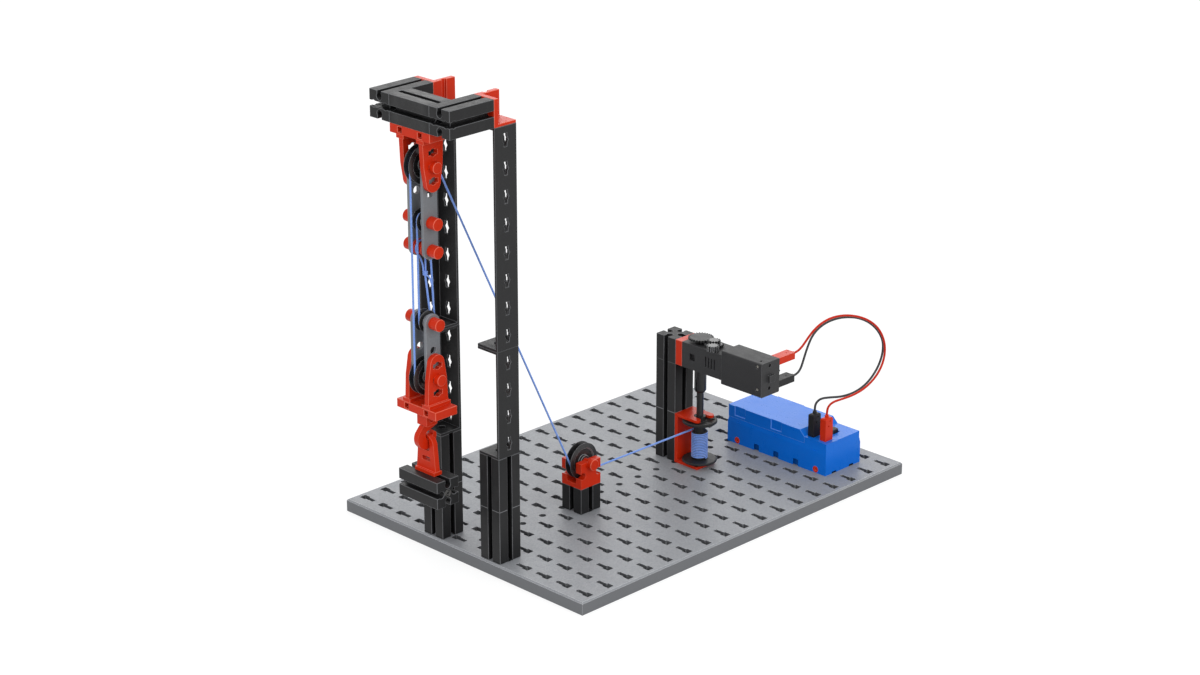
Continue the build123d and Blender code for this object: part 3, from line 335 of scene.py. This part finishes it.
red = linear(206, 44, 12)
black = linear(29, 29, 30)
pulley = linear(26, 26, 27)
strut_grey = linear(122, 125, 129)
plate_grey = linear(150, 152, 156)
blue = linear(0, 109, 220)
cord_blue = linear(122, 160, 240)
# Painted highlight colour for the lines at the brick joints
seam_highlight_grey = linear(142, 143, 146)
warm, cool = (1.0, 0.3, 0.2), (0.2, 0.55, 1.0)   # sheen of the red and blue mouldings seen square on

mould_marks = [(-111.5, y) for y in (74.0, 10.0, -37.0, -52.0, -66.0, -82.0)]
mould_marks += [(-96.0, -60.7), (-36.7, -60.7), (38.3, -60.7), (38.3, 64.3), (-96.0, 64.3), (112.0, 10.0)]

# Each look pairs a face material with an edge material; the edge colours, far lighter than the faces, are
# painted highlights along the rounded edges.
looks = {
    "grey_plate": (moulded("plate grained grey", plate_grey, 0.42, 0.32, cloud=0.035, grain=1.2,
                           grain_depth=0.022, speckle=0.12, scuffs=0.10, rings=mould_marks,
                           # Painted shade: the plate's standing sides and slot walls darker than its top.
                           places=[(upright, shade(plate_grey, 0.52)),
                                   # Painted shadow inside the slots and holes.
                                   (in_the_slots, shade(plate_grey, 0.37))]),
                   highlit_worn_edge("plate edge", linear(226, 228, 232), 0.36, 0.5, 0.2)),
    "black_plastic": (moulded("black brick", black, 0.45, 0.24, scuffs=0.03),
                      highlit_worn_edge("black brick edge", linear(84, 85, 88), 0.36, 0.5, 0.06)),
    # Painted highlights: light grey lines along the joints of the stacked tower and column bricks.
    "tower_black": (moulded("black tower brick", black, 0.45, 0.24, scuffs=0.03,
                            places=[(seam_highlights(brick_joints[0]), seam_highlight_grey)]),
                    highlit_worn_edge("black tower edge", linear(84, 85, 88), 0.36, 0.5, 0.06)),
    "column_black": (moulded("black column brick", black, 0.45, 0.24, scuffs=0.03,
                             places=[(seam_highlights(*brick_joints), seam_highlight_grey)]),
                     highlit_worn_edge("black column edge", linear(84, 85, 88), 0.36, 0.5, 0.06)),
    "girder_black": (moulded("black girder", shade(black, 0.9), 0.46, 0.3, grain=1.6, scuffs=0.035),
                     highlit_worn_edge("black girder edge", linear(78, 79, 82), 0.38, 0.5, 0.06)),
    "motor_black": (moulded("black motor grain", shade(black, 2.1), 0.5, 0.34, grain=1.5, grain_depth=0.012,
                            speckle=0.03, scuffs=0.02),
                    highlit_worn_edge("black motor edge", linear(92, 93, 96), 0.4, 0.5, 0.06)),
    "pulley_black": (moulded("black pulley", pulley, 0.27, 0.55, cloud=0.08, grain=1.3, grain_depth=0.003,
                             scuffs=0.03),
                     highlit_worn_edge("black pulley edge", linear(132, 133, 136), 0.24, 0.6, 0.07)),
    "drum_black": (moulded("black drum", shade(pulley, 0.9), 0.5, 0.35, cloud=0.08, grain=1.5, scuffs=0.03),
                   highlit_worn_edge("black drum edge", linear(90, 91, 94), 0.34, 0.5, 0.07)),
    "output_plastic": (moulded("black output gear", linear(24, 24, 25), 0.42, 0.35, grain=2.0, scuffs=0.03,
                               # Painted shade between the output gear's teeth.
                               places=[(tooth_gaps(*winch, output_root, output_tip), linear(6, 6, 6))]),
                       highlit_worn_edge("black output gear edge", linear(128, 129, 132), 0.3, 0.5, 0.1)),
    "idler_plastic": (moulded("black idler gear", linear(46, 46, 47), 0.24, 0.7, grain=2.0, scuffs=0.05),
                      highlit_worn_edge("black idler gear edge", linear(172, 173, 176), 0.2, 0.7, 0.1)),
    "pinion_plastic": (moulded("black pinion", linear(46, 46, 47), 0.2, 0.7, grain=2.0, scuffs=0.05),
                       highlit_worn_edge("black pinion edge", linear(184, 185, 188), 0.18, 0.7, 0.1)),
    "shaft_black": (moulded("black shaft", shade(black, 0.9), 0.33, 0.5, grain=1.8, scuffs=0.03),
                    highlit_worn_edge("black shaft edge", linear(86, 87, 90), 0.3, 0.5, 0.06)),
    "red_plastic": (moulded("red moulding", red, 0.34, 0.4, cloud=0.04, grain=1.8, scuffs=0.015, tint=warm),
                    highlit_worn_edge("red edge", linear(238, 108, 84), 0.3, 0.45, 0.08, tint=warm)),
    "grey_plastic": (moulded("grey strut", strut_grey, 0.4, 0.42, cloud=0.06, grain=1.4, grain_depth=0.01,
                             speckle=0.06, scuffs=0.07),
                     highlit_worn_edge("grey strut edge", linear(150, 153, 158), 0.35, 0.5, 0.12)),
    "blue_plastic": (moulded("blue moulding", blue, 0.3, 0.5, cloud=0.03, grain=1.6, scuffs=0.01, tint=cool,
                             # Painted shade inside the pin seats.
                             places=[(in_the_seats, shade(blue, 0.4))]),
                     highlit_worn_edge("blue edge", linear(84, 148, 242), 0.26, 0.5, 0.10, tint=cool)),
    "battery_wrap": (moulded("battery wrap", linear(66, 66, 72), 0.35, 0.5),
                     highlit_worn_edge("battery wrap edge", linear(96, 96, 102), 0.3, 0.5)),
}
rope_look = rope_material("blue cord", cord_blue)
# Painted shade: the valleys between the turns on the drum are nearly black.
wound_look = rope_material("blue cord wound", shade(cord_blue, 0.95),
                           places=[(between_turns, shade(cord_blue, 0.08))])
red_lead_look = moulded("red lead insulation", linear(196, 40, 22), 0.38, 0.45, cloud=0.06, grain=1.2,
                        scuffs=0.03, tint=warm)
black_lead_look = moulded("black lead insulation", linear(34, 34, 36), 0.4, 0.5, cloud=0.08, grain=1.2,
                          scuffs=0.04)
steel = metal("bright contact", linear(214, 212, 206), 0.24)
dull_metal = metal("dull pin", linear(122, 121, 119), 0.42)

finishes = {
    "grey_plate": ["base_plate"],
    "black_plastic": ["arm_bricks", "cross_bricks", "weight_brick", "guide_brick", "power_switch",
                      "black_plugs"],
    "tower_black": ["near_tower_bricks", "far_tower_bricks"],
    "column_black": ["column_bricks"],
    "girder_black": ["near_short_girder", "far_short_girder", "near_long_girder", "far_long_girder"],
    "motor_black": ["gearbox_housing", "motor_case"],
    "pulley_black": ["upper_large_pulley", "upper_small_pulley", "lower_large_pulley", "lower_small_pulley",
                     "guide_pulley"],
    "drum_black": ["rope_drum"],
    "output_plastic": ["output_gear"],
    "idler_plastic": ["idler_gear"],
    "pinion_plastic": ["drive_pinion"],
    "shaft_black": ["winch_shaft", "coupling_sleeve"],
    "red_plastic": ["corner_brackets", "upper_block_plate", "upper_block_lugs", "upper_axle", "upper_pins",
                    "anchor_spacer", "lower_block_plate", "lower_block_lugs", "lower_axle", "lower_pin",
                    "hook_block", "load_hook", "weight_lug", "guide_bearing", "guide_axle", "column_spacer",
                    "drum_bracket", "battery_pins", "red_plugs"],
    "grey_plastic": ["upper_struts", "lower_struts"],
    "blue_plastic": ["battery_base", "battery_cover"],
    "battery_wrap": ["battery"],
}
edge_width_mm = {"base_plate": 0.2, "output_gear": 0.1, "idler_gear": 0.1, "drive_pinion": 0.1,
                 "battery_base": 0.24, "battery_cover": 0.2, "motor_case": 0.14, "gearbox_housing": 0.2,
                 "power_switch": 0.15, "anchor_spacer": 0.1, "coupling_sleeve": 0.12, "battery_pins": 0.12,
                 "red_plugs": 0.22, "black_plugs": 0.22, "rope_drum": 0.15}


def soften(name, look):
    """Gives a solid its material and the small rounded edges of a moulding, which take the lighter edge
    material as a painted highlight.
    """
    solid = nodes[name]
    face, edge = looks[look]
    solid.data.materials.clear()
    solid.data.materials.append(face)
    solid.data.materials.append(edge)
    weld = solid.modifiers.new("weld", "WELD")
    weld.merge_threshold = 2e-6
    flat = solid.modifiers.new("flat", "DECIMATE")
    flat.decimate_type = "DISSOLVE"
    flat.angle_limit = math.radians(0.6)
    bevel = solid.modifiers.new("edges", "BEVEL")
    bevel.width = edge_width_mm.get(name, 0.26) * mm
    bevel.segments = 2
    bevel.limit_method = "ANGLE"
    bevel.angle_limit = math.radians(38)
    bevel.material = 1
    bevel.use_clamp_overlap = True
    normals = solid.modifiers.new("normals", "WEIGHTED_NORMAL")
    normals.weight = 100
    normals.keep_sharp = False


for look, names in finishes.items():
    for name in names:
        soften(name, look)


# ---- metal ------------------------------------------------------------------------------------
def turned(name, profile_mm, centre_mm, axis, body, look, sides=28):
    """Ring turned from a closed profile of distances from the axis and along it."""
    mesh = bmesh.new()
    turn = Vector(axis).to_track_quat("Z", "Y")
    rings = []
    for k in range(sides):
        angle = 2 * math.pi * k / sides
        points = [Vector((radius * math.cos(angle), radius * math.sin(angle), along))
                  for radius, along in profile_mm]
        rings.append([mesh.verts.new((Vector(centre_mm) + turn @ point) * mm) for point in points])
    for a, b in zip(rings, rings[1:] + rings[:1]):
        for k in range(len(profile_mm)):
            after = (k + 1) % len(profile_mm)
            mesh.faces.new((a[k], b[k], b[after], a[after])).smooth = True
    bmesh.ops.recalc_face_normals(mesh, faces=mesh.faces)
    data = bpy.data.meshes.new(name)
    mesh.to_mesh(data)
    mesh.free()
    data.materials.append(look)
    piece = bpy.data.objects.new(name, data)
    scene.collection.objects.link(piece)
    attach(piece, body)


contact = [(1.04, -1.0), (0.98, -0.85), (0.9, -0.85), (0.84, -1.0), (0.8, -2.3), (0.08, -2.45), (0.08, -2.8),
           (1.04, -2.8)]
free_side = (37.5, -61.7)        # the motor's face and plane with the free sockets
for name, z in (("upper", 82.4), ("lower", 68.9)):
    turned(f"{name}_contact", contact, (*free_side, z), (-1, 0, 0), "frame", steel)
weight_end = (-150.0, -15.0, 51.2)   # middle of the weight brick's near end
for name, r in (("outer", 1.95), ("inner", 1.15)):
    lip = [(r - 0.28, -0.1), (r - 0.28, 0.08), (r - 0.2, 0.16), (r - 0.08, 0.16), (r, 0.08), (r, -0.1)]
    turned(f"{name}_pin_ring", lip, weight_end, (0, -1, 0), "weight", dull_metal)


# ---- leads ------------------------------------------------------------------------------------
def route_curve(name, points_mm, resolution=12):
    """Smooth line with these points as its control points."""
    curve = bpy.data.curves.new(name, "CURVE")
    curve.dimensions = "3D"
    curve.resolution_u = resolution
    spline = curve.splines.new("NURBS")
    spline.points.add(len(points_mm) - 1)
    for point, place in zip(spline.points, points_mm):
        point.co = (place[0] * mm, place[1] * mm, place[2] * mm, 1)
    spline.order_u = 3
    spline.use_endpoint_u = True
    piece = bpy.data.objects.new(name, curve)
    scene.collection.objects.link(piece)
    return piece


# Control points of the leads, from the plug in the motor to the plug in the battery box
red_route = [
    (67.6, -61.7, 82.4), (70.8, -61.7, 82.4), (74.2, -62.3, 84.6), (77.0, -63.3, 88.4),
    (80.6, -64.6, 93.0), (86.4, -66.4, 97.2), (94.5, -68.3, 98.9), (104.0, -71.0, 98.0),
    (113.5, -75.0, 94.5), (121.3, -78.0, 87.9), (125.2, -80.2, 78.5), (125.0, -80.4, 68.3),
    (120.6, -79.2, 59.3), (112.8, -77.2, 53.1), (104.2, -75.2, 50.5), (96.8, -73.0, 49.6),
    (92.4, -71.1, 48.8), (90.0, -70.1, 47.2), (88.7, -69.6, 44.6), (88.7, -69.6, 41.4),
]
black_route = [
    (67.6, -61.7, 68.9), (70.8, -61.7, 68.9), (73.9, -61.8, 71.1), (75.8, -61.9, 75.2),
    (78.6, -62.0, 82.0), (82.8, -62.1, 88.9), (88.9, -62.7, 93.0), (97.5, -63.7, 94.9),
    (107.5, -65.2, 94.4), (117.5, -67.8, 91.8), (126.0, -71.0, 86.0), (130.5, -74.3, 77.5),
    (130.0, -75.0, 68.7), (126.3, -74.4, 60.3), (120.0, -73.0, 53.2), (112.0, -71.0, 49.2),
    (103.5, -68.2, 47.9), (96.2, -64.8, 48.6), (91.8, -62.4, 48.5), (89.8, -61.2, 46.9),
    (88.7, -60.6, 44.6), (88.7, -60.6, 41.4),
]


def make_lead(name, node, route, look):
    """Lead of a known length between its two plugs."""
    lead = route_curve(name, route)
    lead.data.bevel_depth = 0.65 * mm
    lead.data.bevel_resolution = 5
    lead.data.use_fill_caps = True
    lead.data.materials.append(look)
    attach(lead, "frame")
    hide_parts(node)


make_lead("red_lead", "red_wire", red_route, red_lead_look)
make_lead("black_lead", "black_wire", black_route, black_lead_look)


# ---- rope -------------------------------------------------------------------------------------
rope_radius = 0.58 * mm


def route_points(points_mm, resolution=10):
    """Points along the smooth line of a route, read from its spline."""
    piece = route_curve("route", points_mm, resolution)
    mesh = bpy.data.meshes.new_from_object(piece)
    line = [vertex.co.copy() for vertex in mesh.vertices]
    bpy.data.objects.remove(piece)
    bpy.data.meshes.remove(mesh)
    return line


def even(line, step):
    """The line's points again, an even step apart."""
    lengths = [0.0]
    for a, b in zip(line, line[1:]):
        lengths.append(lengths[-1] + (b - a).length)
    count = max(2, round(lengths[-1] / step))
    points, index = [], 0
    for k in range(count + 1):
        want = lengths[-1] * k / count
        while index < len(line) - 2 and lengths[index + 1] < want:
            index += 1
        span = lengths[index + 1] - lengths[index]
        share = (want - lengths[index]) / span if span else 0.0
        points.append(line[index].lerp(line[index + 1], share))
    return points


def laid_rope(name, line, radius=rope_radius, lay_mm=4.4, sides=12, depth=0.12, look=rope_look):
    """Rope of three strands that twist round the line, as one mesh."""
    step = lay_mm * mm / 14
    points = even(line, step)
    count = len(points)
    tangents = [(points[min(i + 1, count - 1)] - points[max(i - 1, 0)]).normalized() for i in range(count)]
    normal = tangents[0].orthogonal().normalized()
    mesh = bmesh.new()
    rings, travelled = [], 0.0
    for i, (point, tangent) in enumerate(zip(points, tangents)):
        if i:
            travelled += (point - points[i - 1]).length
            normal = (normal - tangent * normal.dot(tangent)).normalized()
        side = tangent.cross(normal)
        turn = travelled / (lay_mm * mm) * 2 * math.pi
        ring = []
        for k in range(sides):
            angle = 2 * math.pi * k / sides
            reach = radius * (1 - depth * (1 - abs(math.cos(1.5 * angle))))
            place = angle + turn
            ring.append(mesh.verts.new(point + (normal * math.cos(place) + side * math.sin(place)) * reach))
        rings.append(ring)
    for a, b in zip(rings, rings[1:]):
        for k in range(sides):
            mesh.faces.new((a[k], a[(k + 1) % sides], b[(k + 1) % sides], b[k]))
    mesh.faces.new(rings[0][::-1])
    mesh.faces.new(rings[-1])
    for face in mesh.faces:
        face.smooth = True
    data = bpy.data.meshes.new(name)
    mesh.to_mesh(data)
    mesh.free()
    data.materials.append(look)
    piece = bpy.data.objects.new(name, data)
    scene.collection.objects.link(piece)
    return piece


def polar(centre, radius, angle):
    """Point at an angle in degrees round a centre, both in one plane."""
    turn = math.radians(angle)
    return centre[0] + radius * math.cos(turn), centre[1] + radius * math.sin(turn)


def round_pulley(centre, radius, y, start, size, steps):
    """Control points of a line that lies on a circle in X and Z and leaves it along its tangents."""
    part = size / steps
    reach = radius / math.cos(math.radians(part / 2))
    angles = [start + part * (k + 0.5) for k in range(-1, steps + 1)]
    return [(x, y, z) for x, z in (polar(centre, reach, a) for a in angles)]


hang_x = -150.0
large, small = 7.7, 3.9
upper_large, upper_small = (hang_x, 227.5), (hang_x, 197.5)
lower_large, lower_small = (hang_x, 113.2), (hang_x, 143.2)
guide = (-45.0, 35.7)
guide_y = -7.5
line_z = 28.0
knot = (-149.1, 168.8)

slant = math.degrees(math.atan2(guide[1] - upper_large[1], guide[0] - upper_large[0]))
twist = math.degrees(math.asin(2 * large / math.dist(upper_large, guide)))
haul_angle = slant + 90 - twist
back_angle = math.degrees(math.asin((large - small) / (upper_small[1] - lower_large[1])))
standing_angle = (math.degrees(math.atan2(knot[1] - 1.5 - lower_small[1], knot[0] - lower_small[0]))
                  - math.degrees(math.acos(small / math.dist((knot[0], knot[1] - 1.5), lower_small))))


def ends_on(points, start, end):
    """Control points with the outermost ones replaced by where the line begins and ends."""
    return [start, *points[1:-1], end]


def haul_route():
    """Over the upper pulley, down to the guide's underside and on to the drum."""
    over = round_pulley(upper_large, large, 0.0, 180, haul_angle - 180, 9)
    top = polar(upper_large, large, 180)
    under = round_pulley(guide, large, guide_y, haul_angle - 180, 90 - haul_angle, 5)
    return [(top[0], 0.0, top[1]), *over[1:], *under[:-1], (guide[0] + 6, guide_y, line_z),
            (0.0, guide_y - 0.37, line_z), (winch[0], winch[1] + barrel_wrap, line_z)]


haul = laid_rope("haul_rope", route_points(haul_route()))
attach(haul, "frame")
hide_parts("rope_spans")


def small_wrap_route(centre, radius, y, start, size):
    """Line on a pulley that begins and ends where the falls touch it."""
    points = round_pulley(centre, radius, y, start, size, 10)
    first, last = polar(centre, radius, start), polar(centre, radius, start + size)
    return ends_on(points, (first[0], y, first[1]), (last[0], y, last[1]))


upper_turn = laid_rope("upper_small_turn", route_points(
    small_wrap_route(upper_small, small, 0.0, 180, back_angle - 180)))
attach(upper_turn, "frame")
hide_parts("rope_spans")

for name, centre, radius, size in (("lower_large_turn", lower_large, large, 180 + back_angle),
                                   ("lower_small_turn", lower_small, small, 180 + standing_angle)):
    turn = laid_rope(name, route_points(small_wrap_route(centre, radius, 0.0, 180, size)))
    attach(turn, "load")
    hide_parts("rope_lower_wraps")


def anchor_route():
    """From the standing fall up through the knot, round the spacer, back and round itself to the tail."""
    y, r = 1.4, 3.83
    centre = (hang_x, 182.5)
    kx, kz = knot
    loop = round_pulley(centre, r, y, -72, 330, 11)
    up = [(kx, 0.0, kz - 1.6), (kx, 0.0, kz - 0.6), (kx + 0.35, 0.2, kz + 0.8), (kx + 1.0, 0.7, kz + 4.5)]
    down = [(kx - 0.9, 0.9, kz + 5.0), (kx - 0.55, 0.75, kz + 2.0)]
    bind = []
    for k in range(19):
        angle = math.radians(150 + 45 * k)
        bind.append((kx + 0.95 * math.cos(angle), 0.95 * math.sin(angle), kz + 0.95 - 0.105 * k))
    tail = [(kx + 1.5, -0.9, kz - 1.9), (kx + 2.3, -1.5, kz - 4.3), (kx + 2.9, -2.0, kz - 7.3)]
    return up + loop[1:-1] + down + bind + tail


loop = laid_rope("anchor_rope", route_points(anchor_route(), 8), radius=0.5 * mm)
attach(loop, "frame")
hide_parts("rope_spans")

back_low, back_high = polar(lower_large, large, back_angle), polar(upper_small, small, back_angle)
stand_low = polar(lower_small, small, standing_angle)
falls = {
    "a": ((hang_x - large, lower_large[1]), (hang_x - large, upper_large[1])),
    "b": ((hang_x - small, lower_small[1]), (hang_x - small, upper_small[1])),
    "c": (stand_low, (knot[0], knot[1] - 1.5)),
    "d": (back_low, back_high),
}
for name, (low, high) in falls.items():
    middle = ((low[0] + high[0]) / 2, 0.0, (low[1] + high[1]) / 2)
    low, high = (low[0], 0.0, low[1]), (high[0], 0.0, high[1])
    fall = laid_rope(f"fall_rope_{name}", route_points([low, middle, high], 40))
    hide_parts(f"rope_fall_{name}")
    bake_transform(fall)


def winding_line():
    """Close turns on the drum's barrel, from where the line comes in down to the lower flange."""
    turns, steps_per_turn = 15.5, 40
    low = 12.15
    first_drop, first_turns = 0.95, 0.6     # the line dips under itself before the close turns start
    line = []
    for k in range(int(turns * steps_per_turn) + 1):
        turn = k / steps_per_turn
        dip = first_drop * min(turn / first_turns, 1.0)
        sink = max(0.0, turn - first_turns) * (line_z - first_drop - low) / (turns - first_turns)
        x, y = polar(winch, barrel_wrap, 90 - 360 * turn)
        line.append(Vector((x, y, line_z - dip - sink)) * mm)
    return line


winding = laid_rope("drum_winding", winding_line(), radius=0.52 * mm, depth=0.0, look=wound_look)
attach(winding, "drum")
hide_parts("rope_winding")


# ---- stage and light --------------------------------------------------------------------------
def seen_directly(tree):
    """1 for rays from the camera, a mirror or glass, and 0 for the light that falls on things."""
    rays = tree.nodes.new("ShaderNodeLightPath")
    value = rays.outputs["Is Camera Ray"]
    for kind in ("Is Glossy Ray", "Is Transmission Ray"):
        either = tree.nodes.new("ShaderNodeMath")
        either.operation = "MAXIMUM"
        tree.links.new(value, either.inputs[0])
        tree.links.new(rays.outputs[kind], either.inputs[1])
        value = either.outputs[0]
    return value


def make_world():
    """Even light from all round before a white backdrop."""
    world = bpy.data.worlds.new("studio")
    world.use_nodes = True
    tree = world.node_tree
    tree.nodes.clear()
    output = tree.nodes.new("ShaderNodeOutputWorld")
    pick = tree.nodes.new("ShaderNodeMixShader")
    light, backdrop = tree.nodes.new("ShaderNodeBackground"), tree.nodes.new("ShaderNodeBackground")
    light.inputs["Color"].default_value = (0.97, 0.985, 1.0, 1)
    light.inputs["Strength"].default_value = 0.72
    backdrop.inputs["Color"].default_value = (1, 1, 1, 1)
    backdrop.inputs["Strength"].default_value = 1.0
    tree.links.new(seen_directly(tree), pick.inputs[0])
    tree.links.new(light.outputs[0], pick.inputs[1])
    tree.links.new(backdrop.outputs[0], pick.inputs[2])
    tree.links.new(pick.outputs[0], output.inputs["Surface"])
    scene.world = world


def make_floor():
    """Pale ground under the object, with its soft shadow."""
    data = bpy.data.meshes.new("floor")
    s, z = 4.0, -0.1 * mm
    data.from_pydata([(-s, -s, z), (s, -s, z), (s, s, z), (-s, s, z)], [], [(0, 1, 2, 3)])
    floor = bpy.data.objects.new("floor", data)
    scene.collection.objects.link(floor)
    material = bpy.data.materials.new("floor")
    material.use_nodes = True
    tree = material.node_tree
    tree.nodes.clear()
    output = tree.nodes.new("ShaderNodeOutputMaterial")
    plain, pale = tree.nodes.new("ShaderNodeBsdfDiffuse"), tree.nodes.new("ShaderNodeBsdfDiffuse")
    glow, lit, pick = (tree.nodes.new(kind) for kind in
                       ("ShaderNodeEmission", "ShaderNodeAddShader", "ShaderNodeMixShader"))
    plain.inputs["Color"].default_value = (0.5, 0.5, 0.5, 1)
    pale.inputs["Color"].default_value = (0.28, 0.28, 0.28, 1)
    glow.inputs["Strength"].default_value = 0.78
    tree.links.new(pale.outputs[0], lit.inputs[0])
    tree.links.new(glow.outputs[0], lit.inputs[1])
    tree.links.new(seen_directly(tree), pick.inputs[0])
    tree.links.new(plain.outputs[0], pick.inputs[1])
    tree.links.new(lit.outputs[0], pick.inputs[2])
    tree.links.new(pick.outputs[0], output.inputs["Surface"])
    data.materials.append(material)


def lamp(name, place, target, size, power):
    """Soft square lamp that looks at a point."""
    data = bpy.data.lights.new(name, "AREA")
    data.shape = "SQUARE"
    data.size = size
    data.energy = power
    light = bpy.data.objects.new(name, data)
    scene.collection.objects.link(light)
    light.location = place
    light.rotation_mode = "QUATERNION"
    light.rotation_quaternion = (Vector(target) - Vector(place)).to_track_quat("-Z", "Y")


make_world()
make_floor()
lamp("overhead", (0.05, 0.12, 1.5), (0, 0, 0), 1.2, 2.5)
lamp("near side", (-0.1, -1.6, 0.9), (0, 0, 0.08), 1.4, 9.8)
lamp("load side", (-1.6, -0.3, 0.8), (0, 0, 0.08), 1.4, 7.0)
lamp("back", (1.25, 1.25, 0.75), (0, 0, 0.05), 1.3, 7.0)
scene.view_settings.view_transform = "Standard"
